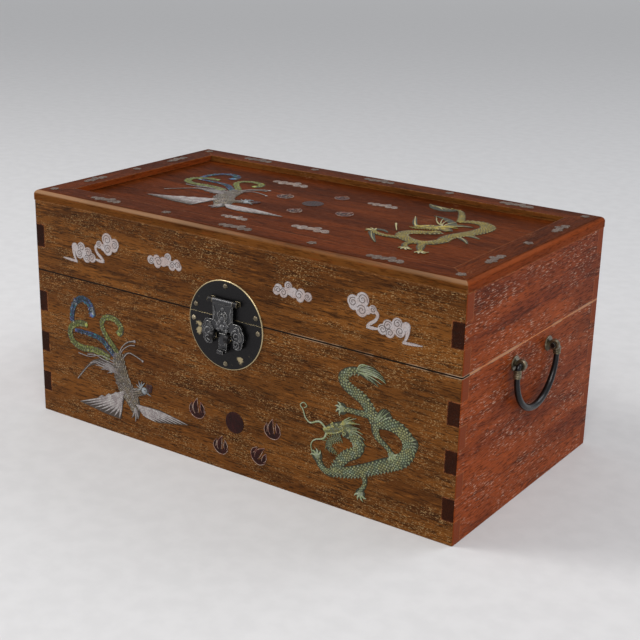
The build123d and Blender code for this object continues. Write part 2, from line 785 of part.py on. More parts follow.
def front_inlays():
    """Dragon, phoenix and the pearl with its flames on the front board."""
    middle = seam_height / 2
    dragon_sketch = fitted(dragon(), seam_height - 2 * dragon_margin)
    phoenix_sketch = fitted(phoenix(), seam_height - 2 * phoenix_margin)
    dragon_place = Pos(half_width - dragon_from_edge, middle + dragon_rise)
    phoenix_place = Pos(phoenix_from_edge - half_width, middle - phoenix_drop)
    dragon_inlay = inlay(front_face, dragon_place * dragon_sketch)
    phoenix_inlay = inlay(front_face, phoenix_place * phoenix_sketch)
    pearl = Pos(pearl_x, pearl_height) * Circle(pearl_radius)
    for x, height, tall, lean in ((-29, 44.5, 16.5, 4), (-5.5, 20, 15, -4), (32, 22, 16, -32), (44, 46.5, 16, 4)):
        pearl += Pos(x, height) * Rot(0, 0, lean) * flame(tall)
    return dragon_inlay, phoenix_inlay, inlay(front_face, pearl)


def lid_cloud_inlays():
    """A hooked pair of clouds near each end of the lid's front and a low cloud beside the lock."""
    middle = (seam_height + lid_board_top) / 2
    pair_x = half_width - lid_cloud_pair_from_edge
    sketch = Sketch()
    sketch += Pos(-pair_x, middle) * cloud_pair()
    sketch += Pos(pair_x, middle) * mirror(cloud_pair(), about=Plane.YZ)
    sketch += Pos(-lid_cloud_x, middle + lid_cloud_rise) * cloud_row()
    sketch += Pos(lid_cloud_x, middle + lid_cloud_rise) * mirror(cloud_row(), about=Plane.YZ)
    return inlay(front_face, sketch)


def top_inlays():
    """Dragon, phoenix, the pearl with its flames, and clouds on the lid's panel."""
    depth = 2 * (half_depth - frame_width)
    dragon_sketch = fitted(top_dragon(), depth - 2 * top_dragon_margin)
    phoenix_sketch = fitted(phoenix(), depth - 2 * top_phoenix_margin)
    dragon_place = Pos(half_width - top_dragon_from_edge, top_dragon_rise)
    phoenix_place = Pos(top_phoenix_from_edge - half_width, 0)
    dragon_inlay = inlay(panel_face, dragon_place * dragon_sketch)
    phoenix_inlay = inlay(panel_face, phoenix_place * phoenix_sketch)
    pearl = Pos(top_pearl_x, top_pearl_y) * Circle(pearl_radius)
    for x, y, tall, lean in ((8, 31, 13, 0), (-32, 7, 15, 10), (39, -11, 15, -12), (2, -27, 13, 0)):
        pearl += Pos(top_pearl_x + x, top_pearl_y + y) * Rot(0, 0, lean) * flame(tall)
    clouds = Sketch()
    for x, y, length in ((-64, 58, 36), (38, 44, 28), (35, -52, 34), (-30, -62, 25)):
        clouds += Pos(x, y) * cloud(length)
    return [dragon_inlay, phoenix_inlay, inlay(panel_face, pearl), inlay(panel_face, clouds)]


def frame_inlays():
    """Corner and side blossoms and long clouds round the frame."""
    line_x = half_width - frame_width / 2
    line_y = half_depth - frame_width / 2
    sketch = Sketch()
    for side in (-1, 1):
        for end in (-1, 1):
            sketch += Pos(end * line_x, side * line_y) * blossom()
            sketch += Pos(end * frame_blossom_offset, side * line_y) * blossom()
            sketch += Pos(end * frame_cloud_offset, side * line_y) * cloud(frame_cloud_length)
            upright = Rot(0, 0, 90) * cloud(end_cloud_length)
            sketch += Pos(end * line_x, side * end_cloud_offset) * upright
        sketch += Pos(0, side * line_y) * cloud(frame_cloud_length)
        sketch += Pos(side * line_x, 0) * blossom()
    return inlay(frame_face, sketch)


# ---------------------------------------------------------------- writing


def save_body():
    """The lower case and everything fixed to it."""
    front, back, left, right = ring_of_boards(0, seam_height, body_fingers)
    panel = base_panel()
    partition = divider()
    lower_plate, _ = lock_plates()
    lower_nails, _ = lock_nails()
    loops = staples()
    eyes = handle_eyes()
    left_eyes = on_left(eyes)
    dragon_inlay, phoenix_inlay, pearl_inlays = front_inlays()
    front_tools = [panel, partition, *lower_nails, *loops, dragon_inlay, phoenix_inlay, pearl_inlays]
    leaves = [hinge_leaf(side * hinge_offset, -1) for side in (-1, 1)]
    back_nails = hinge_nails(-hinge_offset, -1) + hinge_nails(hinge_offset, -1)
    save("front_board", cut(front, front_tools))
    save("back_board", cut(back, [panel, partition, *back_nails]))
    save("left_board", cut(left, [panel, *left_eyes]))
    save("right_board", cut(right, [panel, *eyes]))
    save("base_panel", panel)
    save("divider", partition)
    save("drawer_guides", *guides())
    save("lock_plate_lower", cut(lower_plate, [*lower_nails, *loops]))
    save("lock_plate_lower_nails", *lower_nails)
    save("lock_staples", *loops)
    save("left_hinge_lower_leaf", cut(leaves[0], back_nails))
    save("right_hinge_lower_leaf", cut(leaves[1], back_nails))
    save("hinge_lower_nails", *back_nails)
    save("hinge_pins", hinge_pin(-hinge_offset), hinge_pin(hinge_offset))
    roses = [cut(rose, eyes) for rose in handle_roses()]
    save("right_handle_eyes", *eyes)
    save("left_handle_eyes", *left_eyes)
    save("right_handle_roses", *roses)
    save("left_handle_roses", *on_left(roses))
    save("front_dragon_inlay", dragon_inlay)
    save("front_phoenix_inlay", phoenix_inlay)
    save("front_pearl_inlays", pearl_inlays)


def save_lid():
    """The lid and everything fixed to it."""
    front, back, left, right = ring_of_boards(seam_height, lid_board_top, lid_fingers)
    _, upper_plate = lock_plates()
    _, upper_nails = lock_nails()
    leaves = [hinge_leaf(side * hinge_offset, 1) for side in (-1, 1)]
    back_nails = hinge_nails(-hinge_offset, 1) + hinge_nails(hinge_offset, 1)
    clouds = lid_cloud_inlays()
    panel_inlays = top_inlays()
    border = frame_inlays()
    for ear in hasp_ears():
        upper_plate += ear
    pin = hasp_pin()
    save("lid_front_board", cut(front, [*upper_nails, clouds]))
    save("lid_back_board", cut(back, back_nails))
    save("lid_left_board", left)
    save("lid_right_board", right)
    for place, member in zip(("front", "back", "left", "right"), lid_frame()):
        save(f"lid_frame_{place}", member - border)
    save("lid_panel", cut(lid_panel(), panel_inlays))
    save("lock_plate_upper", cut(upper_plate, [*upper_nails, pin]))
    save("lock_plate_upper_nails", *upper_nails)
    save("hasp_pin", pin)
    save("left_hinge_upper_leaf", cut(leaves[0], back_nails))
    save("right_hinge_upper_leaf", cut(leaves[1], back_nails))
    save("hinge_upper_nails", *back_nails)
    save("lid_cloud_inlays", clouds)
    for figure, piece in zip(("dragon_inlay", "phoenix_inlay", "pearl_inlays", "panel_clouds"), panel_inlays):
        save(f"lid_{figure}", piece)
    save("lid_frame_inlays", border)


def save_moving_pieces():
    """The hasp, both handles and all the drawers."""
    save("hasp", hasp())
    handle = bail()
    save("right_handle", handle)
    save("left_handle", *on_left([handle]))
    for level in range(drawer_count):
        low = floor_height + level * drawer_height
        save_drawer(f"tile_drawer_{level + 1}", (drawer_left, drawer_right), low, low + drawer_height)
    small_range = (divider_right + drawer_clearance, inner_x - drawer_clearance)
    top = floor_height + accessories_drawer_height
    save_drawer("accessories_drawer", small_range, floor_height, top)


os.makedirs("parts", exist_ok=True)
save_body()
save_lid()
save_moving_pieces()
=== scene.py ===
import json
import random
from math import cos, radians, sin, tau

import bmesh
import bpy
from mathutils import Matrix, Vector


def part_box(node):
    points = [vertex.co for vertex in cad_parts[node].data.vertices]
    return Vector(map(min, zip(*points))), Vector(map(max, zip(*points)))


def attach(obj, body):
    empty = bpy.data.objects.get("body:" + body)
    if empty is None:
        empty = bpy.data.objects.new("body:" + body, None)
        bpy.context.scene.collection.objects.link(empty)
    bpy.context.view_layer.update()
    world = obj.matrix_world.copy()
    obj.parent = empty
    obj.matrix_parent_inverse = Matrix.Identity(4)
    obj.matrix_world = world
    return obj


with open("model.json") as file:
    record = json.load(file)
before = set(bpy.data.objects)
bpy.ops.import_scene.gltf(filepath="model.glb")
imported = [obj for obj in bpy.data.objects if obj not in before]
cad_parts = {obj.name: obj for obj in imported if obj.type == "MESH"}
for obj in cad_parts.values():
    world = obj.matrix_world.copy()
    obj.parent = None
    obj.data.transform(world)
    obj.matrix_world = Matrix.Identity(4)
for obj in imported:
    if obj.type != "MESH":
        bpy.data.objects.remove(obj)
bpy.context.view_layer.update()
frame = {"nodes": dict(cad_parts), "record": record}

# Metres, in the case's own frame: the origin is the centre of the underside, +Z is up and
# the front faces -Y. Relief is drawn in millimetres in the plane of the face that carries it.

MM = 0.001
front_low, front_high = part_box("front_board")
lid_low, lid_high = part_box("lid_front_board")
FRONT_Y = front_low.y
SEAM_Z = front_high.z
PANEL_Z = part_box("lid_panel")[1].z
LOCK_Z = SEAM_Z - 0.006
LOCK_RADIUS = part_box("lock_plate_lower")[1].x

# Where the lock plate is rubbed bright: across, up, radius
RUBBED_SPOTS = ((-0.0258, 0.1155, 0.0032), (-0.025, 0.1105, 0.0032), (0.0135, 0.0945, 0.0032))
RIM_WIDTH = 0.0009

# Millimetres above the wood: the inlays' face, and the hidden underside of the relief on it
INLAY_TOP = 0.35
SUNK = 0.1
SPLINE_STEPS = 10

# Camera of the photograph, found by fitting the case's corners in a 640 x 640 picture
CAMERA_AZIMUTH = 34.58
CAMERA_ELEVATION = 19.02
CAMERA_ROLL = 1.32
CAMERA_DISTANCE = 1.052
CAMERA_TARGET = Vector((0.0088, 0.0, 0.0952))
CAMERA_LENS = 72.69
SENSOR_WIDTH = 36.0

# A bail's straight legs, and the rings wound round them below its top
LEG_RADIUS = 0.002
COLLAR_RINGS = 4
COLLAR_TOP = 0.0052
COLLAR_PITCH = 0.0016
COLLAR_WIRE = 0.0008

FLOOR_REACH = 60.0
FLOOR_DROP = 0.0002
LAMP_AIM = Vector((0, 0, 0.08))
WORLD_COLOUR = (0.7, 0.71, 0.73, 1.0)
WORLD_STRENGTH = 0.62

# Pale colour of the painted glints scattered among the shell's chips
SPARKLE = (0.62, 0.66, 0.62)
# Painted highlight on the worn edges along the seam
SEAM_HIGHLIGHT = (0.42, 0.29, 0.19)

draw = random.Random(7).uniform


# ---------------- materials


class Paint:
    """A node material in the making, its base colour laid on in layers."""

    def __init__(self, name):
        self.material = bpy.data.materials.new(name)
        self.material.use_nodes = True
        self.tree = self.material.node_tree
        self.shader = self.tree.nodes["Principled BSDF"]
        coordinates = self.tree.nodes.new("ShaderNodeTexCoord")
        self.place = coordinates.outputs["Object"]
        self.facing = coordinates.outputs["Normal"]
        self.base = None

    def put(self, socket, value):
        if isinstance(value, bpy.types.NodeSocket):
            self.tree.links.new(value, socket)
        else:
            socket.default_value = value

    def node(self, kind, inputs, **settings):
        made = self.tree.nodes.new(kind)
        for key, value in settings.items():
            setattr(made, key, value)
        for key, value in inputs.items():
            self.put(made.inputs[key], value)
        return made

    def math(self, operation, first, second=0.0):
        return self.node("ShaderNodeMath", {0: first, 1: second}, operation=operation).outputs[0]

    def plus(self, first, second):
        return self.math("ADD", first, second)

    def minus(self, first, second):
        return self.math("SUBTRACT", first, second)

    def times(self, first, second):
        return self.math("MULTIPLY", first, second)

    def either(self, first, second):
        return self.math("MAXIMUM", first, second)

    def measure(self, operation, *vectors):
        inputs = dict(enumerate(vectors))
        return self.node("ShaderNodeVectorMath", inputs, operation=operation).outputs["Value"]

    def mix(self, share, first, second):
        inputs = {0: share, 6: colour(first), 7: colour(second)}
        return self.node("ShaderNodeMix", inputs, data_type="RGBA").outputs[2]

    def lay(self, share, tone):
        """Covers a share of the base colour."""
        self.base = self.mix(share, self.base, tone)

    def rise(self, value, low, high, start=0.0, end=1.0):
        """A smooth step from start to end while the value goes from low to high."""
        inputs = dict(enumerate((value, low, high, start, end)))
        return self.node("ShaderNodeMapRange", inputs, interpolation_type="SMOOTHSTEP").outputs[0]

    def stretched(self, stretch):
        stretch = stretch if isinstance(stretch, tuple) else (stretch,) * 3
        return self.node("ShaderNodeMapping", {"Vector": self.place, "Scale": stretch}).outputs[0]

    def noise(self, stretch, detail=2.0, rough=0.5, distort=0.0):
        """Noise whose features are about 1 / stretch metres long, on each axis or on all."""
        inputs = {"Vector": self.stretched(stretch), "Scale": 1.0}
        inputs |= {"Detail": detail, "Roughness": rough, "Distortion": distort}
        return self.node("ShaderNodeTexNoise", inputs).outputs["Fac"]

    def cells(self, per_metre):
        inputs = {"Vector": self.stretched(per_metre), "Scale": 1.0}
        return self.node("ShaderNodeTexVoronoi", inputs).outputs

    def axis(self, vector, letter):
        return self.node("ShaderNodeSeparateXYZ", {0: vector}).outputs[letter]

    def slope(self, letter):
        """1 on faces square to an axis, 0 on faces along it."""
        return self.math("ABSOLUTE", self.axis(self.facing, letter))

    def rounded(self, radius):
        return self.node("ShaderNodeBevel", {"Radius": radius}, samples=4).outputs[0]

    def edges(self, radius, low, high):
        """1 on worn outside edges and 0 on flat faces."""
        plain = self.node("ShaderNodeNewGeometry", {}).outputs["Normal"]
        same = self.measure("DOT_PRODUCT", self.rounded(radius), plain)
        return self.rise(self.minus(1.0, same), low, high)

    def soften(self, height, strength, distance, radius):
        """Bump over slightly rounded edges."""
        inputs = {"Height": height, "Strength": strength, "Distance": distance}
        bump = self.node("ShaderNodeBump", {**inputs, "Normal": self.rounded(radius)})
        self.put(self.shader.inputs["Normal"], bump.outputs[0])

    def finish(self, roughness, **constants):
        self.put(self.shader.inputs["Base Color"], self.base)
        self.put(self.shader.inputs["Roughness"], roughness)
        for key, value in constants.items():
            self.shader.inputs[key.replace("_", " ")].default_value = value
        return self.material


def colour(value):
    return (*value, 1.0) if isinstance(value, tuple) and len(value) == 3 else value


def dimmed(tone, share):
    return tuple(part * share for part in tone)


def along(grain, length, width):
    """Stretch for features so many millimetres long on the grain and wide across it."""
    return tuple(1000.0 / (length if letter == grain else width) for letter in "XYZ")


def pore_and_glint_marks(paint, grain, look):
    """Pale filled pores in patches, partly painted glints of the varnish."""
    share, length, width = look["pores"]
    pores = paint.noise(along(grain, length, width), 2.0, 0.55)
    patches = paint.noise(along(grain, 50, 18), 3.0, 0.6)
    where = paint.rise(patches, 0.66 - share * 0.4, 0.8 - share * 0.3, 0.05, 1.0)
    marks = paint.times(paint.rise(pores, 0.58, 0.64), where)
    paint.lay(paint.times(marks, 0.72), look["pore"])
    return marks


def end_grain(paint, grain, look):
    """Fine rings on the ends of the board."""
    tone = look.get("board_end", look["end"]) if grain == "X" else look["end"]
    rings = paint.noise(along(grain, 2, 1.6), 3.0, 0.7)
    end = paint.rise(paint.slope(grain), 0.6, 0.8)
    paint.lay(paint.times(end, 0.92), paint.mix(rings, tone, dimmed(tone, 0.5)))


def worn_and_highlit_edges(paint, look):
    # Lighter worn edges, partly a painted highlight along them
    scuffed = paint.rise(paint.noise(220.0, 4.0, 0.7), 0.38, 0.62, 0.15, 0.8)
    paint.lay(paint.times(paint.edges(0.0016, 0.03, 0.2), scuffed), look["edge"])


def seam_line(paint, grain, look):
    """Painted light on the case-lid line on upright faces, with a ragged highlight to the right."""
    off = paint.math("ABSOLUTE", paint.minus(paint.axis(paint.place, "Z"), SEAM_Z))
    off = paint.plus(off, paint.rise(paint.slope("Z"), 0.6, 0.8, 0.0, 0.01))
    ragged = paint.rise(paint.noise(along(grain, 26, 26), 3.0), 0.4, 0.56)
    towards_right = paint.rise(paint.axis(paint.place, "X"), -0.02, 0.12, 0.0, 0.8)
    # A ragged painted highlight on the worn edges beside the line, stronger towards the right
    lit = paint.times(paint.times(ragged, towards_right), paint.rise(off, 0.0013, 0.0009))
    paint.lay(lit, SEAM_HIGHLIGHT)
    # The line itself: painted shade for the gap on the front, a painted highlight on the ends
    width, tone = look["seam"]
    paint.lay(paint.rise(off, width, width * 0.6), tone)


def painted_rounded_edge_highlight(paint, broad, tone):
    """Painted highlight where the frame's outer edge turns over."""
    tilt = paint.axis(paint.facing, "Z")
    turned = paint.times(paint.rise(tilt, 0.15, 0.5), paint.rise(tilt, 0.96, 0.86))
    paint.lay(paint.times(turned, paint.rise(broad, 0.35, 0.6, 0.1, 0.5)), tone)


def wood(name, grain, look):
    """Oiled hardwood: soft streaks, short dark dashes, end grain; pale pores and worn edges, partly
    painted highlight.
    """
    look = {**PLAIN_WOOD, **look}
    pale, middle, dark = look["tones"]
    figured, dashed = look["streaks"]
    roughness, polish = look["gloss"]
    paint = Paint(name)
    broad = paint.noise(along(grain, 230, 24), 3.0, 0.5, 0.5)
    paint.base = paint.mix(paint.rise(broad, 0.36, 0.64), middle, pale)
    # Painted light and shade: upright faces take the front's and the ends' tones by which way they
    # face
    if "side" in look:
        paint.lay(paint.rise(paint.slope("Y"), 0.5, 0.9, 0.0, 0.85), look["side"])
        paint.lay(paint.rise(paint.slope("X"), 0.4, 0.8, 0.0, 0.85), look["end_side"])
    figure = paint.noise(along(grain, 60, 3.6), 4.0, 0.62, 0.7)
    paint.lay(paint.rise(figure, 0.48, 0.72, 0.0, figured), dark)
    cloudy = paint.noise(along(grain, 120, 48), 3.0)
    paint.lay(paint.rise(cloudy, 0.5, 0.72, 0.0, 0.45), dark)
    dashes = paint.noise(along(grain, 8, 0.85), 2.0, 0.6)
    paint.lay(paint.rise(dashes, 0.5, 0.64, 0.0, dashed), dark)
    bright = paint.noise(along(grain, 14, 1.3), 2.0, 0.6)
    paint.lay(paint.rise(bright, 0.55, 0.75, 0.0, 0.5), dimmed(pale, 1.7))
    marks = pore_and_glint_marks(paint, grain, look)
    end_grain(paint, grain, look)
    worn_and_highlit_edges(paint, look)
    if "seam" in look:
        seam_line(paint, grain, look)
    # Painted highlight on the frame's rounded outer edges
    if "rounded" in look:
        painted_rounded_edge_highlight(paint, broad, look["rounded"][grain])
    paint.soften(paint.minus(paint.times(marks, -0.7), dashes), 0.3, 0.0004, 0.0008)
    dull = paint.plus(paint.rise(dashes, 0.3, 0.8, 0.0, 0.16), paint.times(marks, 0.2))
    return paint.finish(paint.plus(dull, roughness), Specular_IOR_Level=polish)


def lock_plate_wear(paint, spots, bright):
    """The lock plate's bright rim and rubbed patches."""
    across = paint.math("POWER", paint.axis(paint.place, "X"), 2.0)
    up = paint.math("POWER", paint.minus(paint.axis(paint.place, "Z"), LOCK_Z), 2.0)
    reach = paint.math("SQRT", paint.plus(across, up))
    inner = LOCK_RADIUS - RIM_WIDTH
    bright = paint.either(bright, paint.rise(reach, inner, inner + 0.0004))
    ragged = paint.times(paint.minus(spots, 0.5), 0.012)
    for x, z, size in RUBBED_SPOTS:
        away = paint.plus(paint.measure("DISTANCE", paint.place, (x, FRONT_Y, z)), ragged)
        bright = paint.either(bright, paint.rise(away, size, size * 0.55, 0.0, 0.8))
    return bright


def metal(name, patina, bare, wear, roughness, rim=False, coat=0.0):
    """Blackened brass, rubbed bright on its edges and in spots."""
    paint = Paint(name)
    fine = paint.noise(900.0, 4.0, 0.65)
    spots = paint.noise(150.0, 5.0, 0.7, 0.3)
    rubbed = paint.rise(spots, 0.74 - wear * 0.3, 0.94 - wear * 0.22)
    edge = paint.times(paint.edges(0.0008, 0.05, 0.3), paint.rise(fine, 0.3, 0.6, 0.25, 1.0))
    bright = paint.either(paint.times(rubbed, 0.75), edge)
    if rim:
        bright = lock_plate_wear(paint, spots, bright)
    paint.base = paint.mix(fine, patina, dimmed(patina, 2.2))
    paint.lay(bright, bare)
    paint.soften(fine, 0.4, 0.0003, 0.0004)
    rough = paint.rise(fine, 0.2, 0.8, roughness, roughness + 0.2)
    return paint.finish(rough, Metallic=0.85, Coat_Weight=coat, Coat_Roughness=0.16)


def shell(name, ground, glow, glint, patch=7.0, chips=0.0, sparkle=0.4):
    """Mother-of-pearl: two tones in drifts or in chips, dark where the relief is engraved."""
    paint = Paint(name)
    drift = paint.noise(1000.0 / patch, 2.0, 0.5, 1.2)
    paint.base = paint.mix(paint.rise(drift, 0.4, 0.6), glow, glint)
    chip = paint.cells(1000.0 / max(chips, 0.9))["Color"]
    tones = paint.node("ShaderNodeSeparateColor", {0: chip}).outputs
    if chips:
        paint.lay(paint.rise(tones["Red"], 0.35, 0.65), glint)
        paint.lay(paint.rise(tones["Green"], 0.55, 0.7, 0.0, 0.8), ground)
    # Painted glints: a share of the chips turned pale
    paint.lay(paint.rise(tones["Blue"], 0.8, 0.95, 0.0, sparkle), SPARKLE)
    fine = paint.noise(1300.0, 3.0, 0.7)
    paint.lay(paint.rise(fine, 0.45, 0.75, 0.0, 0.45), ground)
    carved = paint.node("ShaderNodeAttribute", {}, attribute_name="relief").outputs["Fac"]
    paint.base = paint.mix(carved, ground, paint.base)
    paint.soften(fine, 0.25, 0.0003, 0.0002)
    return paint.finish(paint.rise(fine, 0.3, 0.7, 0.3, 0.5), Specular_IOR_Level=0.3)


def cloud_shell(name, pale, rosy, line, outline=0.75):
    """Pale shell plates with engraved curls round small lobes."""
    paint = Paint(name)
    drift = paint.noise(90.0, 2.0, 0.5, 0.8)
    paint.base = paint.mix(paint.rise(drift, 0.4, 0.62), pale, rosy)
    winding = paint.math("PINGPONG", paint.cells(210.0)["Distance"], 0.16)
    engraved = paint.rise(winding, 0.045, 0.0, 0.0, 0.6)
    paint.lay(engraved, line)
    fine = paint.noise(800.0, 3.0, 0.7)
    paint.lay(paint.rise(fine, 0.5, 0.8, 0.0, 0.35), line)
    paint.lay(paint.times(paint.edges(0.0011, 0.04, 0.3), outline), dimmed(line, 0.25))
    paint.soften(paint.minus(fine, engraved), 0.4, 0.0003, 0.0003)
    return paint.finish(paint.rise(drift, 0.3, 0.7, 0.34, 0.5), Specular_IOR_Level=0.3)


def dark_shell(name):
    """The pearl's disc and the flames: dark polished shell with reddish veins and painted edge
    highlight.
    """
    paint = Paint(name)
    veins = paint.noise(120.0, 3.0, 0.6, 0.6)
    reddish = paint.rise(veins, 0.4, 0.7)
    paint.base = paint.mix(reddish, (0.016, 0.004, 0.0035), (0.034, 0.007, 0.006))
    speck = paint.noise(700.0, 2.0)
    # Painted highlight along the edges, broken by specks
    lit = paint.times(paint.edges(0.0008, 0.05, 0.4), paint.rise(speck, 0.4, 0.6, 0.0, 0.35))
    paint.lay(lit, (0.32, 0.2, 0.14))
    paint.soften(speck, 0.2, 0.0002, 0.0003)
    return paint.finish(paint.rise(speck, 0.3, 0.7, 0.24, 0.38), Specular_IOR_Level=0.12)


# ---------------- drawing in relief


def new_object(name, data):
    piece = bpy.data.objects.new(name, data)
    bpy.context.scene.collection.objects.link(piece)
    return piece


def on_front(across, up, size=1.0, flip=False):
    """Turns figure millimetres into places on the front face."""
    sign = -1.0 if flip else 1.0

    def place(u, v, proud):
        return (MM * (across + sign * size * u), FRONT_Y - MM * proud, MM * (up + size * v))

    return place


def on_panel(across, up, size=1.0):
    """Turns figure millimetres into places on the lid's sunk panel."""

    def place(u, v, proud):
        return (MM * (across + size * u), MM * (up + size * v), PANEL_Z + MM * proud)

    return place


class Relief:
    """Collects closed raised shapes, each point with how brightly it shows.

    Its place turns what is drawn into metres; without one, metres are drawn.
    """

    def __init__(self, place=lambda *spot: spot):
        self.place = place
        self.points = []
        self.faces = []
        self.shades = []

    def add(self, points, faces, shades):
        first = len(self.points)
        self.points += [self.place(*point) for point in points]
        self.faces += [tuple(first + corner for corner in face) for face in faces]
        self.shades += shades

    def make(self, name, material, body):
        mesh = bpy.data.meshes.new(name)
        mesh.from_pydata(self.points, [], self.faces)
        attribute = mesh.attributes.new("relief", "FLOAT", "POINT")
        attribute.data.foreach_set("value", self.shades)
        shape = bmesh.new()
        shape.from_mesh(mesh)
        bmesh.ops.recalc_face_normals(shape, faces=shape.faces)
        shape.to_mesh(mesh)
        shape.free()
        mesh.materials.append(material)
        piece = new_object(name, mesh)
        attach(piece, body)


def curve_through(points):
    """A dense smooth line through the points."""
    knots = [Vector(point) for point in points]
    knots = [2 * knots[0] - knots[1], *knots, 2 * knots[-1] - knots[-2]]
    line = []
    for index in range(1, len(knots) - 2):
        a, b, c, d = knots[index - 1 : index + 3]
        for step in range(SPLINE_STEPS):
            t = step / SPLINE_STEPS
            bend = (2 * a - 5 * b + 4 * c - d) * t**2 + (3 * b - a - 3 * c + d) * t**3
            line.append(0.5 * (2 * b + (c - a) * t + bend))
    line.append(knots[-2])
    return line


def stations(points, gap):
    """Places at even steps along the smooth line, each with its direction and share of the way."""
    line = curve_through(points)
    reach = [0.0]
    for before, after in zip(line, line[1:]):
        reach.append(reach[-1] + (after - before).length)
    count = max(2, round(reach[-1] / gap))
    made = []
    index = 0
    for step in range(count + 1):
        target = reach[-1] * step / count
        while index < len(line) - 2 and reach[index + 1] < target:
            index += 1
        part = (target - reach[index]) / max(reach[index + 1] - reach[index], 1e-9)
        heading = (line[index + 1] - line[index]).normalized()
        made.append((line[index].lerp(line[index + 1], part), heading, step / count))
    return made


def width_at(halves, share):
    spot = share * (len(halves) - 1)
    index = min(int(spot), len(halves) - 2)
    return halves[index] + (halves[index + 1] - halves[index]) * (spot - index)


def left_of(heading):
    return Vector((-heading.y, heading.x))


def bands(rings, around, closed=False):
    """Faces between each ring of corners and the next."""
    faces = []
    for ring in range(rings if closed else rings - 1):
        near, far = ring * around, (ring + 1) % rings * around
        for index in range(around):
            after = (index + 1) % around
            faces.append((near + index, near + after, far + after, far + index))
    return faces


PROFILE = ((-1.0, 0.0), (-0.62, 0.75), (0.0, 1.0), (0.62, 0.75), (1.0, 0.0))


def ribbon(relief, points, halves, crown, shades, base=INLAY_TOP, gap=1.1):
    """A domed strip along a smooth line, closed underneath."""
    low, high = shades
    corners, tones = [], []
    ring = len(PROFILE) + 2
    steps = stations(points, gap)
    for spot, heading, share in steps:
        across = left_of(heading) * max(width_at(halves, share), 0.05)
        for side, rise in PROFILE:
            corners.append((*(spot + across * side), base + crown * rise))
            tones.append(low + (high - low) * rise)
        for side in (1, -1):
            corners.append((*(spot + across * side), SUNK))
            tones.append(low)
    faces = bands(len(steps), ring)
    faces.append(tuple(range(ring)))
    faces.append(tuple(range(len(corners) - ring, len(corners))))
    relief.add(corners, faces, tones)


def button(relief, centre, radius, height, shade=0.9, base=INLAY_TOP, sides=12):
    """A low dome."""
    corners, tones = [], []
    rings = ((1.0, None), (1.0, 0.0), (0.78, 0.6), (0.4, 0.92))
    for share, rise in rings:
        for index in range(sides):
            angle = tau * index / sides
            u = centre[0] + radius * share * cos(angle)
            v = centre[1] + radius * share * sin(angle)
            corners.append((u, v, SUNK if rise is None else base + height * rise))
            tones.append(0.1 if rise is None else shade * (0.4 + 0.6 * rise))
    corners.append((centre[0], centre[1], base + height))
    tones.append(shade)
    faces = bands(len(rings), sides)
    top = (len(rings) - 1) * sides
    for index in range(sides):
        faces.append((top + index, top + (index + 1) % sides, len(corners) - 1))
    faces.append(tuple(range(sides)))
    relief.add(corners, faces, tones)


def blade(relief, start, end, half_width, height, shade=0.8, base=INLAY_TOP, belly=0.4):
    """A small pointed leaf with a ridge."""
    start, end = Vector(start), Vector(end)
    side = left_of((end - start).normalized()) * half_width
    middle = start.lerp(end, belly)
    corners = [
        (*start, base),
        (*(middle + side), base),
        (*end, base),
        (*(middle - side), base),
        (*middle, base + height),
        (*middle, SUNK),
    ]
    faces = [(rim, (rim + 1) % 4, apex) for apex in (4, 5) for rim in range(4)]
    shades = [shade * share for share in (0.35, 0.5, 0.6, 0.5, 1.0)]
    relief.add(corners, faces, [*shades, 0.1])


def scale_plate(relief, spot, heading, size, base, shade):
    """One round scale, highest a little behind its middle."""
    corners, tones = [], []
    side = left_of(heading)
    count = 7
    for index in range(count):
        angle = tau * index / count
        along_body = heading * (size * 0.62 * cos(angle))
        rim = spot + along_body + side * (size * 0.56 * sin(angle))
        corners.append((*rim, base - 0.16))
        tones.append(0.08)
    corners.append((*(spot + heading * size * 0.12), base + 0.26))
    corners.append((*spot, base - 0.3))
    tones += [shade, 0.0]
    faces = []
    for index in range(count):
        after = (index + 1) % count
        faces.append((index, after, count))
        faces.append((index, after, count + 1))
    relief.add(corners, faces, tones)


def scaled_body(relief, points, halves, size=2.2, crown=0.35, shade=1.0):
    """A domed band covered with staggered scales."""
    inner = [half * 0.96 for half in halves]
    ribbon(relief, points, inner, crown, shades=(0.0, 0.12))
    for row, (spot, heading, share) in enumerate(stations(points, size * 0.8)):
        half = max(width_at(inner, share), 0.6)
        odd = row % 2
        count = max(1, round(2 * half / size))
        for column in range(count + odd):
            offset = (column + 0.5 - 0.5 * odd) * 2 * half / count - half
            if abs(offset) > half * 0.9:
                continue
            lift = INLAY_TOP + crown * (1 - (offset / half) ** 2)
            tone = shade * draw(0.55, 1.0)
            scale_plate(relief, spot + left_of(heading) * offset, heading, size, lift, tone)


def spines(relief, points, halves, side, length=2.6, gap=3.0):
    """A row of small fins along one edge of a band."""
    for spot, heading, share in stations(points, gap):
        out = left_of(heading) * side
        root = spot + out * (width_at(halves, share) * 0.7)
        tip = root + out * length + heading * length * 0.7
        blade(relief, root, tip, 0.8, 0.3, 0.7)


def claws(relief, centre, aim, size=1.0):
    """A paw: a round pad with four hooked claws fanned about the aim, in degrees."""
    button(relief, centre, 2.4 * size, 0.4, 0.6)
    for turn in (-62, -22, 22, 62):
        angle = radians(aim + turn)
        out = Vector((cos(angle), sin(angle)))
        hook = Vector((cos(angle + 0.7), sin(angle + 0.7)))
        start = Vector(centre) + out * 1.4 * size
        middle = Vector(centre) + out * 3.6 * size
        end = middle + hook * 2.0 * size
        widths = (0.9 * size, 0.75 * size, 0.1)
        ribbon(relief, [start, middle, end], widths, 0.4, (0.0, 1.0), gap=0.9)


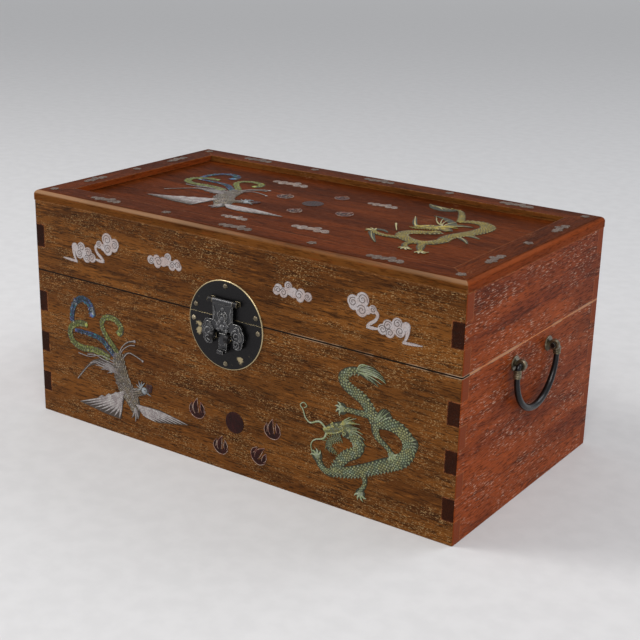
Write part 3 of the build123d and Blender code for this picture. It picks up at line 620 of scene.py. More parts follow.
def curl(relief, centre, radius, turns, start, way, line=0.32, height=0.16, shade=0.0):
    """A thin raised spiral that winds inwards."""
    count = max(8, round(10 * turns))
    points = []
    for index in range(count + 1):
        share = index / count
        angle = radians(start) + way * tau * turns * share
        reach = radius * (1 - 0.78 * share)
        points.append((centre[0] + reach * cos(angle), centre[1] + reach * sin(angle)))
    ribbon(relief, points, (line, line), height, (shade, shade), gap=0.9)


def curls(relief, spots, turns, *look):
    """A curl at each spot, given by its place, radius, starting angle and way round."""
    for u, v, radius, start, way in spots:
        curl(relief, (u, v), radius, turns, start, way, *look)


# ---------------- dragons


HEAD_CURLS = (
    (-9.5, 1.2, 1.7, 200, 1),
    (-6, 4, 1.5, 90, -1),
    (1.5, 0.2, 2.3, 160, -1),
    (5, 4.5, 2.2, 30, 1),
    (7.5, 0, 2.1, 300, 1),
    (3.5, -3.4, 1.8, 260, -1),
)


def head_points(centre, turn, size):
    """Turns head millimetres, with the snout towards -u, into figure millimetres."""
    turned = Matrix.Rotation(radians(turn), 2)

    def at(*pairs):
        return [Vector(centre) + turned @ (Vector(pair) * size) for pair in pairs]

    return at


def dragon_head(relief, skull, jaw, centre, turn, size=1.0):
    """Long open jaws, curled brows and cheeks, domed eye, swept horns, beard and teeth."""
    at = head_points(centre, turn, size)
    ribbon(relief, *skull, 0.3, (0.0, 0.3))
    scaled_body(relief, *jaw, size=1.5, crown=0.3, shade=0.9)
    for u, v, radius, start, way in HEAD_CURLS:
        curl(relief, at((u, v))[0], radius * size, 1.4, start, way, 0.36, 0.4, 0.95)
    nose, lip = at((-4, 2.4), (-9, 1.6), (-13, 0.6)), at((2, -1), (-4, -2.6), (-12, -2.6))
    ribbon(relief, nose, (0.5, 0.7, 0.4), 0.4, (0.2, 1.0), base=0.6)
    ribbon(relief, lip, (0.4, 0.6, 0.4), 0.4, (0.1, 0.9), base=0.6)
    button(relief, at((-13.4, 0.4))[0], 1.5 * size, 0.7, 0.8)
    button(relief, at((-1.5, 3.6))[0], 1.3 * size, 0.5, 1.0, base=0.75)
    button(relief, at((-1.7, 3.6))[0], 0.5 * size, 0.3, 0.0, base=1.2)
    for tip in ((13, 9.5), (17, 8.2), (19, 3.8), (15, 5.5)):
        root, end = at((2, 3.5), tip)
        (line,) = fan(root, [end], 0.9)
        ribbon(relief, line, (0.9 * size, 0.8 * size, 0.6, 0.12), 0.5, (0.0, 0.85))
    for index in range(5):
        tooth = at((-3.5 - 2.0 * index, -2.9), (-4.1 - 2.0 * index, -4.9))
        blade(relief, tooth[0], tooth[1], 0.45, 0.3, 1.0)
    for spot, heading, share in stations(jaw[0], 2.2):
        out = -left_of(heading) * width_at(jaw[1], share)
        blade(relief, spot - out * 0.8, spot - out * 1.7, 0.4, 0.3, 0.9)
        hair = [spot + out, spot + out * 1.8 + heading, spot + out * 2.2 + heading * 2.4]
        ribbon(relief, hair, (0.4, 0.3, 0.1), 0.25, (0.0, 0.6))


def dragon_relief(name, place, body, figure, scales, fringes, face):
    """Scales, fins, mane, claws and head of one dragon."""
    scaled = Relief(place)
    for points, halves in figure["bands"]:
        scaled_body(scaled, points, halves)
    for points, halves in figure["limbs"]:
        scaled_body(scaled, points, halves, size=1.9, crown=0.45)
    scaled.make(f"{name}_scales", scales, body)
    fringe = Relief(place)
    for points, halves, side in figure["spines"]:
        spines(fringe, points, halves, side)
    for points in figure["strands"]:
        ribbon(fringe, points, (0.35, 0.6, 0.5, 0.12), 0.3, (0.0, draw(0.4, 1.0)))
    for points in figure["whiskers"]:
        ribbon(fringe, points, (1.0, 0.8, 0.6, 0.5, 0.4), 0.4, (0.1, 1.0), gap=0.7)
    for centre, aim in figure["paws"]:
        claws(fringe, centre, aim, 1.15)
    fringe.make(f"{name}_mane_and_claws", fringes, body)
    head = Relief(place)
    dragon_head(head, *figure["head"])
    head.make(f"{name}_head", face, body)


def fan(root, tips, bow):
    """Curved strands from one root out to each tip."""
    made = []
    for tip in tips:
        start, end = Vector(root), Vector(tip)
        side = left_of((end - start).normalized()) * bow
        made.append([start, start.lerp(end, 0.4) + side, start.lerp(end, 0.75) + side * 0.7, end])
    return made


def front_dragon():
    tail = [(2, 46), (-5.5, 44.5), (-12, 37.5), (-6, 31), (6, 25.5), (12.5, 18), (17, 11.5)]
    back = [(17, 11.5), (28, 12.5), (39, 9.5), (45, 0), (41, -10.5), (30, -17.5), (19, -23)]
    belly = [(19, -23), (6, -29.5), (-5.5, -34), (-16.5, -36.5)]
    neck = [(-16.5, -36.5), (-12.5, -29), (-5.5, -21), (2.5, -15.5), (4, -8.5), (-2.5, -4)]
    spine = tail + back[1:] + belly[1:]
    widths = (2.2, 3.8, 4.4, 4.8, 5.3, 5.3, 5.0, 4.6, 3.6)
    tuft = [(24.5, 42), (24, 44), (22, 46.3), (19, 48.8), (14, 51.2), (9, 51.6)]
    mane = [(4.5, 2.5), (7, -1), (9, -5), (10, -9.5), (8.5, -14), (6, -18), (1, -20)]
    mane += [(5, -3.5), (3, -13)]
    upper_fin = [(19, 17.5), (21, 20.5), (23.5, 22.8), (26, 23.4), (28.5, 22), (30.5, 19)]
    upper_fin += [(31.5, 15.5)]
    side_fin = [(45, 10), (48, 8.8), (50.5, 7), (52, 4.2), (52.2, 1), (51.5, -2), (50, -4.5)]
    upper_whisker = [(-24, -5.5), (-30.5, -1), (-38.5, -3.9), (-43, -1), (-45.2, 4.5)]
    upper_whisker += [(-47.7, 7.8), (-44.8, 10.4), (-41.9, 8.3), (-44.4, 6.2)]
    return {
        "bands": [(neck, (3.4, 4.3, 4.3, 4.4)), (spine, widths)],
        "limbs": [
            ([(12, 15.5), (2, 14.5), (-6, 14.5), (-9, 14)], (3, 2.2, 2)),
            ([(17, 9), (19, 0.5), (25.5, -4), (30, -8)], (3.2, 2.4, 1.8)),
            ([(8, -30), (10, -38.5), (6.5, -45)], (2.6, 1.9, 1.5)),
            ([(-15, -36.5), (-24, -38.5), (-29, -34.5), (-31, -30.5)], (3.2, 2.6, 2.4)),
        ],
        "paws": [((-11.5, 14), 180), ((31, -10), -50), ((6.5, -47.5), -100), ((-32, -28.5), 110)],
        "spines": [(spine, widths, 1), (neck, (3.6, 4.2), 1)],
        "strands": fan((0, 46.5), tuft, 2.2)
        + fan((1, 45), [(18.5, 38), (21, 40.5), (14, 40), (23, 43.5), (10, 41)], 1.2)
        + fan((-6, -1), mane, 1.2)
        + fan((18, 10), upper_fin, 0.7)
        + fan((43, 1), side_fin, 0.7),
        "whiskers": [
            upper_whisker,
            [(-24, -8), (-26.7, -13.2), (-34.3, -16.2), (-37.6, -20.8), (-36.4, -27.1)],
        ],
        "head": (
            ([(-26.5, -7), (-19, -3.5), (-10, -0.5), (2, 1.5)], (2, 4.3, 4.7, 1.2)),
            ([(-12, -8.5), (-19, -12), (-22.5, -17), (-15, -21.5)], (2.8, 2.4, 2.0, 0.5)),
            (-13, -2.5),
            15,
        ),
    }


def panel_dragon():
    tail = [(-20, 61), (-12, 59.5), (-5, 50), (1, 39), (5, 29)]
    back = [(5, 29), (13, 35), (22, 35), (30, 28), (31, 17), (28, 5), (23, -6), (20, -17)]
    back += [(22, -27)]
    belly = [(22, -27), (18, -37), (10, -42), (0, -40), (-8, -35), (-12, -27)]
    belly += [(-8, -19), (1, -14), (8, -7)]
    tuft = [(-42, 64), (-24, 53), (-27, 57), (-18, 58), (-20, 54), (-38, 60)]
    mane = [(-18, 33), (-10, 31), (-4, 28), (4, 26), (12, 22), (20, 21), (14, 17), (-14, 27)]
    return {
        "bands": [
            (tail, (1, 2.6, 3, 3)),
            (belly, (4.4, 4.8, 5, 4.6, 4.6, 4.4)),
            (back, (3, 4.6, 6, 6.2, 5.6, 5, 4.4)),
        ],
        "limbs": [
            ([(-5, -37), (-17, -41), (-28, -39), (-34, -34)], (3.4, 2.8, 2.4)),
            ([(8, -41), (5, -51), (10, -59)], (3.2, 2.4, 1.4)),
            ([(13, -40), (19, -54), (24, -62)], (3, 2.8, 1.4)),
        ],
        "paws": [((-34, -34), 150), ((10.5, -59.5), -90), ((24, -62), -60)],
        "spines": [(back, (3, 4.6, 6, 6.2, 5.6, 5, 4.4), 1), (belly, (4.4, 4.8, 5, 4.6, 4.4), -1)],
        "strands": fan((-34, 60), tuft, 1.0)
        + fan((2, 8), mane, 2.0)
        + [
            [(24, -4), (30, -3), (35, -3), (41, -6)],
            [(22, -10), (29, -12), (34, -16), (40, -23)],
            [(-33, -38), (-29, -44), (-24, -51), (-15, -61)],
        ],
        "whiskers": [
            [(-14, -4), (-19, 2), (-25, 12), (-30, 21)],
            [(-31, -6), (-26, -14), (-20, -23)],
        ],
        "head": (
            ([(-16, -5), (-7, 1), (3, 4), (12, -1)], (1.5, 5.6, 6, 2.8)),
            ([(2, -2), (-6, -5), (-12, -9), (-16, -9)], (2.4, 2, 1.6, 0.5)),
            (-2, 1),
            18,
            0.95,
        ),
    }


# ---------------- phoenixes


BREAST_CURLS = (
    (3, -29, 2.6, 90, 1),
    (9, -29.5, 2.2, 0, -1),
    (7, -35.5, 2.2, 200, 1),
    (1, -20, 2.4, 30, -1),
)


def feather(relief, points, halves, shade=1.0):
    """A dark quill between two rows of short barbs, with pale dots along it."""
    ribbon(relief, points, [half * 0.85 for half in halves], 0.12, (0.0, 0.1))
    for row, (spot, heading, share) in enumerate(stations(points, 1.35)):
        half = width_at(halves, share)
        for side in (-1, 1):
            out = left_of(heading) * side
            end = spot + out * half * draw(0.85, 1.4)
            end -= heading * half * draw(0.3, 0.9)
            tone = shade * draw(0.2, 1.0)
            blade(relief, spot + out * 0.25, end, 0.7, 0.24, tone, base=0.4)
        if row % 2:
            dot = spot + left_of(heading) * draw(-0.4, 0.4)
            button(relief, dot, 0.42, 0.3, 1.0, base=0.5, sides=6)
    button(relief, points[0], halves[0] * 0.7, 0.35, shade)


def wing(relief, roots, tips, half_width, count):
    """Long flight feathers fanned between two roots and two tips, under short covers."""
    widths = (half_width * 0.5, half_width * 0.8, half_width * 0.6, 0.15)
    for index in range(count):
        share = index / (count - 1)
        start = Vector(roots[0]).lerp(Vector(roots[1]), share)
        end = Vector(tips[0]).lerp(Vector(tips[1]), share)
        bow = left_of((end - start).normalized()) * 1.5
        line = [start, start.lerp(end, 0.5) + bow * (1 - share), end]
        ribbon(relief, line, widths, 0.3, (0.0, 1.0))
        for step in (0.12, 0.28, 0.44):
            spot = start.lerp(end, step)
            tip = spot + (end - start) * 0.14
            blade(relief, spot, tip, half_width * 0.8, 0.2, 0.9, base=0.5)


def plumage(relief, points, halves, length=4.2):
    """Short overlapping feathers that lie back along a band and fringe its edges."""
    ribbon(relief, points, halves, 0.3, (0.0, 0.15))
    for row, (spot, heading, share) in enumerate(stations(points, length * 0.5)):
        half = max(width_at(halves, share), 1.0)
        count = max(2, round(2 * half / 1.9))
        for column in range(count + 1):
            offset = (column / count - 0.5) * 2 * half * (0.98 if row % 2 else 0.86)
            out = left_of(heading) * offset
            lift = INLAY_TOP + 0.3 * (1 - (offset / half) ** 2)
            end = spot + out * 1.16 - heading * length * draw(0.75, 1.05)
            tone = draw(0.45, 1.0)
            blade(relief, spot + out * 0.9, end, 0.85, 0.22, tone, lift, 0.6)


def phoenix_relief(name, place, body):
    """Curling tail feathers, feathered body, fanned wings, crested head and thin plumes."""
    teal = Relief(place)
    high = [(-35, 35.5), (-37, 43.5), (-44.5, 47), (-52.5, 43.5), (-57, 35), (-58, 25)]
    low = [(-54, 18.5), (-43.5, 18.5), (-33, 18), (-24, 15.5), (-17, 10), (-9.5, 4)]
    feather(teal, high, (3.4, 2.8, 2.4))
    feather(teal, low, (1.6, 2.4, 2.4))
    teal.make(f"{name}_teal_feathers", TEAL, body)
    green = Relief(place)
    low = [(-42, 25.5), (-51, 25), (-59, 20), (-61, 14), (-56.5, 7), (-46.5, 4.5)]
    low += [(-33, 5.5), (-17, 2)]
    high = [(-6, 25.5), (-3.5, 30), (-6.5, 35), (-14, 37.5), (-22, 35), (-24.5, 28.5)]
    high += [(-21, 22), (-13, 14), (-6, 6)]
    feather(green, low, (2.6, 2.8, 3))
    feather(green, high, (2.8, 2.3, 2.4))
    green.make(f"{name}_green_feathers", GREEN, body)
    trunk = Relief(place)
    back = [(-7, 6), (-6, -4), (-2.5, -15.5), (6, -27), (11, -42)]
    plumage(trunk, back, (5.2, 7.0, 7.6, 6.6, 2.0))
    plumage(trunk, [(1, -24), (10, -21), (18, -18)], (4.6, 3.2, 2.6), 3.0)
    curls(trunk, BREAST_CURLS, 1.3, 0.34, 0.5, 1.0)
    trunk.make(f"{name}_body", PLUMAGE, body)
    wings = Relief(place)
    wing(wings, ((-2, -23), (-5, -36)), ((-52, -44.2), (-8, -48)), 1.7, 9)
    wing(wings, ((11, -31.5), (18, -38)), ((65, -34.4), (32, -40.6)), 1.6, 7)
    covers = [(-36, -4), (-33, -7.5), (-27, -9.5), (-20, -11.5), (-29, -2.5), (-21, -2.5)]
    for line in fan((-8, -9), covers, -1.4):
        ribbon(wings, line, (0.9, 1.0, 0.8, 0.2), 0.25, (0.0, 0.6))
    for line in fan((10, -34), [(13, -43), (10, -46), (6, -44)], 0.6):
        ribbon(wings, line, (1.2, 1.2, 0.8, 0.2), 0.6, (0.2, 0.7))
    wings.make(f"{name}_wings", WING, body)
    plumes = Relief(place)
    for line in (
        [(-6.5, 8), (-2.5, 15.5), (4, 21), (11.5, 23)],
        [(-5.5, 8), (-1.5, 13.5), (5, 18), (11, 19.5)],
        [(-3, 5), (4, 11.5), (12, 10.5), (19.5, 8)],
        [(-54, -24), (-46, -15), (-39, -8), (-34, -5)],
        [(-39, -7), (-34, -5), (-24, -7.5), (-12, -9)],
        [(-12, 0), (-26, 2.4), (-40, -1.4), (-52, -1)],
        [(-12, -2), (-24, -0.5), (-33, 1.5), (-42, 0)],
    ):
        ribbon(plumes, line, (0.5, 0.45, 0.35, 0.5), 0.25, (0.0, 0.75))
    button(plumes, (10.8, 22.8), 1.3, 0.3, 0.9)
    button(plumes, (19, 8), 1.0, 0.3, 0.9)
    plumes.make(f"{name}_plumes", WING, body)
    head = Relief(place)
    button(head, (20, -17), 3.1, 0.6, 0.9)
    button(head, (21.2, -16.2), 0.55, 0.4, 0.0, base=0.85)
    blade(head, (22, -18.2), (28, -20), 0.9, 0.5, 0.7)
    for line in fan((17, -15.5), [(14.5, -10), (18, -9.5), (21, -10), (11.5, -13), (12, -18)], 0.6):
        ribbon(head, line, (0.6, 0.7, 0.6, 0.15), 0.35, (0.0, 0.8))
    head.make(f"{name}_head", CHEEK, body)
    crest = Relief(place)
    for centre, radius in (((24.0, -12.4), 2.0), ((26.8, -12.2), 2.1), ((26.2, -15.0), 2.2)):
        button(crest, centre, radius, 0.5, 1.0)
    crest.make(f"{name}_crest", CREST, body)


# ---------------- clouds and flames


# Curls on the lobes of a hooked pair of clouds and of a low cloud
CLOUD_PAIR = (
    (18.2, 9.5, 4.1, 200, -1),
    (26, 6.4, 3.4, 120, -1),
    (18.7, 1.8, 3.8, 20, 1),
    (9.7, 4, 2.3, 60, 1),
    (-10.3, -1.8, 3.4, 210, -1),
    (-2.9, -4.9, 3.4, 150, -1),
    (-4.6, -9.6, 3.0, 320, 1),
    (1.2, -8.3, 3.0, 20, 1),
    (-12.6, -7, 3.2, 240, 1),
)
CLOUD_ROW = (
    (-13.4, -1.1, 2.6, 180, 1),
    (-6.2, -1.2, 3.6, 160, -1),
    (3.3, 3.7, 2.4, 200, -1),
    (7.6, -1.8, 2.8, 20, 1),
    (12.6, -0.8, 2.8, 330, 1),
)


def flame_lines(relief, lean):
    """Pale outlines of a cup of three tongues."""
    turned = Matrix.Rotation(radians(lean), 2)
    cup = [(-5.4, 4.4), (-8, 0), (-7.6, -4), (-4.4, -7.4), (0, -8.6)]
    cup += [(4.6, -7.6), (7.8, -3.4), (8, -1)]
    for line in (
        cup,
        [(0.6, 8.6), (-3.6, 3), (-4, -2), (-2.4, -5)],
        [(0.8, 8.8), (1, 3), (1.4, -1), (0.6, -4)],
        [(4.2, 6), (3.2, 1), (4.4, -3)],
        [(4.4, 5.6), (7.4, 1), (6.6, -3)],
        [(-5, 4), (-5, 0), (-5.6, -3)],
    ):
        points = [turned @ Vector(point) for point in line]
        ribbon(relief, points, (0.2, 0.3, 0.2), 0.2, (0.4, 1.0))


def flames_round(name, origin, spots, surface, body):
    relief = Relief()
    for u, v, tall, lean in spots:
        relief.place = surface(origin[0] + u, origin[1] + v, tall / FLAME_HEIGHT)
        flame_lines(relief, lean)
    relief.make(name, LINES, body)


# ---------------- hardware


def torus(relief, centre, radius, thickness, sides=20, around=8):
    """A round ring that lies level, in metres."""
    corners = []
    for step in range(sides):
        angle = tau * step / sides
        out = Vector((cos(angle), sin(angle), 0))
        for index in range(around):
            turn = tau * index / around
            spot = Vector(centre) + out * (radius + thickness * cos(turn))
            corners.append((spot.x, spot.y, spot.z + thickness * sin(turn)))
    faces = bands(sides, around, closed=True)
    relief.add(corners, faces, [0.6] * len(corners))


def bail_collars(name):
    """Wound rings on each leg of a bail, just under its eyes."""
    low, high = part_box(name)
    relief = Relief()
    for leg_y in (low.y + LEG_RADIUS, high.y - LEG_RADIUS):
        for turn in range(COLLAR_RINGS):
            drop = COLLAR_TOP + COLLAR_PITCH * turn
            centre = ((low.x + high.x) / 2, leg_y, high.z - drop)
            torus(relief, centre, LEG_RADIUS + 0.0002, COLLAR_WIRE)
    relief.make(f"{name}_collars", WORN, name)


def on_hasp(u, v, proud):
    """Millimetres on the hasp's plate, measured from its pivot."""
    return (MM * u, HASP_FACE - MM * proud, HASP_TOP + MM * v)


def hasp_relief():
    """Scrolled cloud head, boss with petals and veins on the hanging plate."""
    relief = Relief(on_hasp)
    for side in (-1, 1):
        curl(relief, (side * 13.2, -24.5), 5.2, 1.6, 90, side, 0.75, 0.9, 0.8)
        curl(relief, (side * 13.2, -30.6), 3.2, 1.3, 270, side, 0.6, 0.8, 0.8)
        stem = [(side * 8.4, -4), (side * 7.4, -9), (side * 8.2, -14), (side * 5, -17)]
        vein = [(side * 2, -7), (side * 4.4, -10), (side * 2.6, -14)]
        ribbon(relief, stem, (0.5, 0.9, 0.5), 0.9, (0.2, 0.9), base=0.0)
        ribbon(relief, vein, (0.4, 0.9, 0.3), 0.8, (0.2, 0.9), base=0.0)
        for turn in range(3):
            angle = radians(90 + side * (35 + 42 * turn))
            spot = Vector((0, -19.5)) + Vector((cos(angle), sin(angle))) * 4.6
            button(relief, spot, 1.7, 1.1, 0.8, base=0.3)
    button(relief, (0, -19.5), 2.8, 1.5, 1.0, base=0.6)
    button(relief, (0, -12.6), 2.0, 1.2, 0.9, base=0.3)
    button(relief, (0, -5.5), 1.5, 0.9, 0.9, base=0.2)
    relief.make("hasp_scrolls", SILVER_WEAR_AND_HIGHLIGHT, "hasp")


# ---------------- materials in use

# Colours from pale to dark; how strongly the figure and the dashes show; the pores' share,
# length and width in millimetres, their pale colour partly painted glints; the seam's half width
# and colour, painted shade for the gap on the front and a painted highlight on the ends;
# roughness and polish
PLAIN_WOOD = {"streaks": (0.5, 0.4), "pores": (0.2, 4.0, 0.6)}

WOODS = {
    "front_rosewood": {
        "tones": ((0.17, 0.06, 0.011), (0.094, 0.031, 0.006), (0.017, 0.006, 0.002)),
        "streaks": (0.6, 0.75),
        "pore": (0.4, 0.25, 0.11),
        "pores": (0.6, 1.5, 0.6),
        "end": (0.27, 0.048, 0.01),
        "edge": (0.33, 0.15, 0.05),
        "seam": (0.0008, (0.008, 0.004, 0.002)),
        "gloss": (0.38, 0.06),
    },
    # Lighter and redder than the front wood, partly painted light on the ends
    "side_rosewood": {
        "tones": ((0.29, 0.056, 0.01), (0.165, 0.028, 0.006), (0.034, 0.007, 0.003)),
        "streaks": (0.6, 0.65),
        "pore": (0.56, 0.38, 0.29),
        "pores": (0.6, 6.5, 0.8),
        "board_end": (0.27, 0.048, 0.01),
        "end": (0.013, 0.006, 0.004),
        "edge": (0.52, 0.16, 0.05),
        # The ends' seam colour is a painted highlight line
        "seam": (0.00045, (0.6, 0.22, 0.08)),
        "gloss": (0.36, 0.04),
    },
    # Darker than the front wood, partly painted shade on the top
    "top_rosewood": {
        "tones": ((0.115, 0.024, 0.004), (0.06, 0.012, 0.002), (0.014, 0.003, 0.001)),
        "streaks": (0.6, 0.45),
        "pore": (0.3, 0.15, 0.08),
        "pores": (0.15, 3.0, 0.6),
        "end": (0.03, 0.01, 0.005),
        "edge": (0.3, 0.13, 0.05),
        # Tones painted on the frame's faces turned to the front and to the ends, as painted light
        # and shade
        "side": (0.15, 0.055, 0.012),
        "end_side": (0.23, 0.044, 0.009),
        # Colours of the painted highlight on the frame's rounded outer edge, by the member's grain
        "rounded": {"X": (0.42, 0.26, 0.15), "Y": (0.3, 0.075, 0.025)},
        "gloss": (0.3, 0.01),
    },
    "inner_wood": {
        "tones": ((0.23, 0.115, 0.055), (0.16, 0.075, 0.035), (0.07, 0.03, 0.015)),
        "pore": (0.3, 0.19, 0.12),
        "end": (0.07, 0.03, 0.015),
        "edge": (0.32, 0.18, 0.1),
        "gloss": (0.55, 0.2),
    },
    "drawer_wood": {
        "tones": ((0.33, 0.17, 0.08), (0.24, 0.115, 0.05), (0.11, 0.048, 0.022)),
        "pore": (0.4, 0.25, 0.15),
        "end": (0.1, 0.045, 0.022),
        "edge": (0.42, 0.25, 0.13),
        "gloss": (0.48, 0.25),
    },
}

DRAGON = shell("dragon_scale_shell", (0.018, 0.019, 0.01), (0.42, 0.42, 0.17), (0.3, 0.38, 0.22))
DRAGON_HEAD = shell(
    "dragon_head_shell", (0.02, 0.02, 0.01), (0.26, 0.29, 0.15), (0.38, 0.35, 0.1), 4.0
)
MANE = shell("dragon_mane_shell", (0.018, 0.02, 0.011), (0.27, 0.32, 0.16), (0.34, 0.38, 0.24), 4.0)
GOLD = shell("gold_scale_shell", (0.02, 0.012, 0.003), (0.55, 0.41, 0.06), (0.42, 0.34, 0.08))
GOLD_MANE = shell("gold_mane_shell", (0.03, 0.02, 0.008), (0.5, 0.42, 0.16), (0.42, 0.38, 0.2), 4.0)
TEAL = shell(
    "teal_shell", (0.004, 0.012, 0.016), (0.05, 0.29, 0.32), (0.09, 0.11, 0.34), 11.0, 2.2, 0.8
)
GREEN = shell("green_shell", (0.026, 0.03, 0.006), (0.34, 0.35, 0.07), (0.21, 0.25, 0.055), 6.0)
PLUMAGE = shell("plumage_shell", (0.018, 0.013, 0.011), (0.27, 0.22, 0.19), (0.24, 0.19, 0.12), 5.0)
WING = shell("wing_shell", (0.028, 0.021, 0.019), (0.4, 0.36, 0.35), (0.27, 0.23, 0.23), 6.0)
CHEEK = shell("cheek_shell", (0.02, 0.02, 0.022), (0.3, 0.35, 0.4), (0.28, 0.27, 0.26), 2.5)
CREST = shell(
    "crest_shell", (0.012, 0.003, 0.003), (0.05, 0.009, 0.008), (0.03, 0.006, 0.006), sparkle=0.1
)
LINES = shell("flame_line_shell", (0.05, 0.02, 0.016), (0.42, 0.28, 0.21), (0.24, 0.09, 0.07))
CLOUD_LINES = shell("cloud_line_shell", (0.12, 0.095, 0.09), (0.22, 0.18, 0.18), (0.2, 0.17, 0.17))
CLOUD = cloud_shell("cloud_plate_shell", (0.42, 0.38, 0.38), (0.4, 0.32, 0.3), (0.17, 0.135, 0.13))
PANEL_CLOUD = cloud_shell(
    "panel_cloud_shell", (0.27, 0.21, 0.18), (0.22, 0.15, 0.12), (0.09, 0.06, 0.05)
)
FRAME_SHELL = cloud_shell(
    "frame_plate_shell", (0.085, 0.052, 0.036), (0.06, 0.034, 0.024), (0.3, 0.24, 0.2), 0.1
)
PEARL = dark_shell("dark_red_shell")
DARK = metal("blackened_brass", (0.011, 0.0105, 0.011), (0.52, 0.42, 0.24), 0.25, 0.26, rim=True)
DARK_RELIEF = metal(
    "blackened_relief", (0.016, 0.016, 0.018), (0.52, 0.51, 0.49), 0.42, 0.22, coat=0.5
)
# The hasp's relief, rubbed bright over most of it: wear, and partly a painted highlight
SILVER_WEAR_AND_HIGHLIGHT = metal("silver_wear_and_highlight_relief", (0.045, 0.045, 0.048), (0.66, 0.65, 0.62), 0.7, 0.2, coat=0.8)
IRON = metal("blackened_bail", (0.009, 0.009, 0.01), (0.3, 0.28, 0.24), 0.25, 0.26, coat=0.3)
WORN = metal("worn_brass_fittings", (0.07, 0.055, 0.032), (0.5, 0.43, 0.29), 0.85, 0.28, coat=0.5)

DRAGON_GROUND = shell("dragon_plate_shell", (0.03, 0.032, 0.018), (0.2, 0.2, 0.1), (0.2, 0.2, 0.1))
PHOENIX_GROUND = shell(
    "phoenix_plate_shell", (0.05, 0.036, 0.028), (0.3, 0.3, 0.2), (0.3, 0.3, 0.2)
)


def wood_for(node, slot):
    """The slot's wood, with its grain along the board."""
    crosswise = ("left_board", "right_board", "lid_frame_left", "lid_frame_right", "end_walls")
    upright = ("divider", "guides")
    grain = "Y" if node.endswith(crosswise) else "Z" if node.endswith(upright) else "X"
    name = f"{slot}_{grain.lower()}"
    return bpy.data.materials.get(name) or wood(name, grain, WOODS[slot])


def dress_nodes():
    """A node material on every piece of the case that is kept as it is."""
    slots = {part["node"]: part["material_slot"] for part in frame["record"]["subparts"]}
    fixed = {
        "dragon_shell": DRAGON_GROUND,
        "phoenix_shell": PHOENIX_GROUND,
        "pale_shell": CLOUD,
        "dark_shell": PEARL,
        "dark_brass": DARK,
        "worn_brass": WORN,
    }
    own = {
        "left_handle": IRON,
        "right_handle": IRON,
        "hasp": DARK_RELIEF,
        "lid_panel_clouds": PANEL_CLOUD,
        "lid_frame_inlays": FRAME_SHELL,
    }
    for name, piece in frame["nodes"].items():
        slot = slots[name]
        material = wood_for(name, slot) if slot in WOODS else own.get(name, fixed.get(slot))
        piece.data.materials.clear()
        piece.data.materials.append(material)


# ---------------- setting


def paint_floor():
    """Pale, and paler far off, where it meets the background."""
    paint = Paint("pale_floor")
    grain = paint.noise(60.0, 3.0)
    paint.base = paint.mix(paint.rise(grain, 0.3, 0.7), (0.6, 0.6, 0.61), (0.63, 0.63, 0.64))
    paint.lay(paint.rise(paint.measure("LENGTH", paint.place), 1.2, 6.0), (0.97, 0.97, 0.97))
    return paint.finish(0.7, Specular_IOR_Level=0.2)


def floor():
    mesh = bpy.data.meshes.new("floor")
    signs = ((-1, -1), (1, -1), (1, 1), (-1, 1))
    corners = [(x * FLOOR_REACH, y * FLOOR_REACH, 0) for x, y in signs]
    mesh.from_pydata(corners, [], [(0, 1, 2, 3)])
    mesh.materials.append(paint_floor())
    piece = new_object("floor", mesh)
    piece.location.z = -FLOOR_DROP


def lamp(name, spot, size, watts, tint):
    light = bpy.data.lights.new(name, "AREA")
    light.shape = "DISK"
    light.size = size
    light.energy = watts
    light.color = tint
    piece = new_object(name, light)
    piece.location = spot
    piece.rotation_mode = "QUATERNION"
    piece.rotation_quaternion = (LAMP_AIM - Vector(spot)).to_track_quat("-Z", "Y")


def lights():
    lamp("soft_key", (1.1, -1.5, 1.9), 1.4, 30.0, (1.0, 0.97, 0.93))
    lamp("soft_back", (1.2, 1.5, 1.9), 1.5, 18.0, (0.95, 0.97, 1.0))
    lamp("soft_left", (-1.9, -1.2, 1.1), 1.5, 14.0, (1.0, 0.98, 0.96))
    lamp("edge_light", (-1.1, -0.66, 1.75), 0.7, 14.0, (1.0, 0.98, 0.95))
    world = bpy.data.worlds.new("studio")
    bpy.context.scene.world = world
    world.use_nodes = True
    background = world.node_tree.nodes["Background"]
    background.inputs["Color"].default_value = WORLD_COLOUR
    background.inputs["Strength"].default_value = WORLD_STRENGTH


def camera():
    a, e, r = (radians(value) for value in (CAMERA_AZIMUTH, CAMERA_ELEVATION, CAMERA_ROLL))
    back = Vector((sin(a) * cos(e), -cos(a) * cos(e), sin(e)))
    spot = CAMERA_TARGET + back * CAMERA_DISTANCE
    level = (-back).cross(Vector((0, 0, 1))).normalized()
    upright = level.cross(-back)
    right = level * cos(r) + upright * sin(r)
    up = upright * cos(r) - level * sin(r)
    data = bpy.data.cameras.new("camera")
    data.lens = CAMERA_LENS
    data.sensor_width = SENSOR_WIDTH
    piece = new_object("camera", data)
    piece.matrix_world = Matrix.Translation(spot) @ Matrix((right, up, back)).transposed().to_4x4()
    bpy.context.scene.camera = piece


# ---------------- everything in place

HASP_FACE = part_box("hasp")[0].y + 0.0034
HASP_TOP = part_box("hasp")[1].z - 0.0022

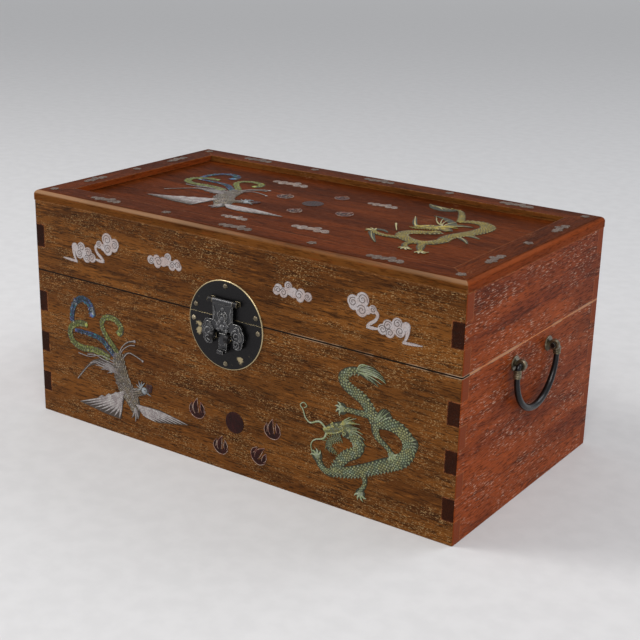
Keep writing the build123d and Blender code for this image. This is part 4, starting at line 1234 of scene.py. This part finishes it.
# Millimetres
HALF_WIDTH = front_high.x / MM
FRONT_MIDDLE = SEAM_Z / MM / 2
LID_MIDDLE = (lid_low.z + lid_high.z) / MM / 2
PEARL_PLACE = (8.0, 42.0)
PANEL_PEARL = (-9.0, 12.0)
CLOUD_ROW_LENGTH = 34.3
FLAME_HEIGHT = 17.0


def case_figures():
    spot = on_front(HALF_WIDTH - 83.0, FRONT_MIDDLE + 2.5)
    dragon_relief("front_dragon", spot, "case", front_dragon(), DRAGON, MANE, DRAGON_HEAD)
    phoenix_relief("front_phoenix", on_front(96.0 - HALF_WIDTH, FRONT_MIDDLE - 0.5), "case")
    spots = ((-37, 2.5, 16.5, 4), (-13.5, -22, 15, -4), (24, -20, 16, -32), (36, 4.5, 16, 4))
    flames_round("front_flame_lines", PEARL_PLACE, spots, on_front, "case")


def lid_figures():
    spot = on_panel(HALF_WIDTH - 93.0, 8.0)
    dragon_relief("panel_dragon", spot, "lid", panel_dragon(), GOLD, GOLD_MANE, GOLD)
    phoenix_relief("panel_phoenix", on_panel(125.5 - HALF_WIDTH, 0.0, 1.1), "lid")
    spots = ((8, 31, 13, 0), (-32, 7, 15, 10), (39, -11, 15, -12), (2, -27, 13, 0))
    flames_round("panel_flame_lines", PANEL_PEARL, spots, on_panel, "lid")
    lines = Relief()
    for side in (-1, 1):
        lines.place = on_front(side * (HALF_WIDTH - 62.0), LID_MIDDLE, flip=side > 0)
        curls(lines, CLOUD_PAIR, 1.5)
        lines.place = on_front(side * 60.0, LID_MIDDLE + 3.0, flip=side > 0)
        curls(lines, CLOUD_ROW, 1.4)
    lines.make("lid_cloud_curls", CLOUD_LINES, "lid")
    lines = Relief()
    for u, v, length in ((-64, 58, 36), (38, 44, 28), (35, -52, 34), (-30, -62, 25)):
        lines.place = on_panel(u, v, length / CLOUD_ROW_LENGTH)
        curls(lines, CLOUD_ROW, 1.4)
    lines.make("panel_cloud_curls", CLOUD_LINES, "lid")


dress_nodes()
case_figures()
lid_figures()
hasp_relief()
bail_collars("left_handle")
bail_collars("right_handle")
floor()
lights()
camera()
bpy.context.scene.view_settings.view_transform = "Standard"
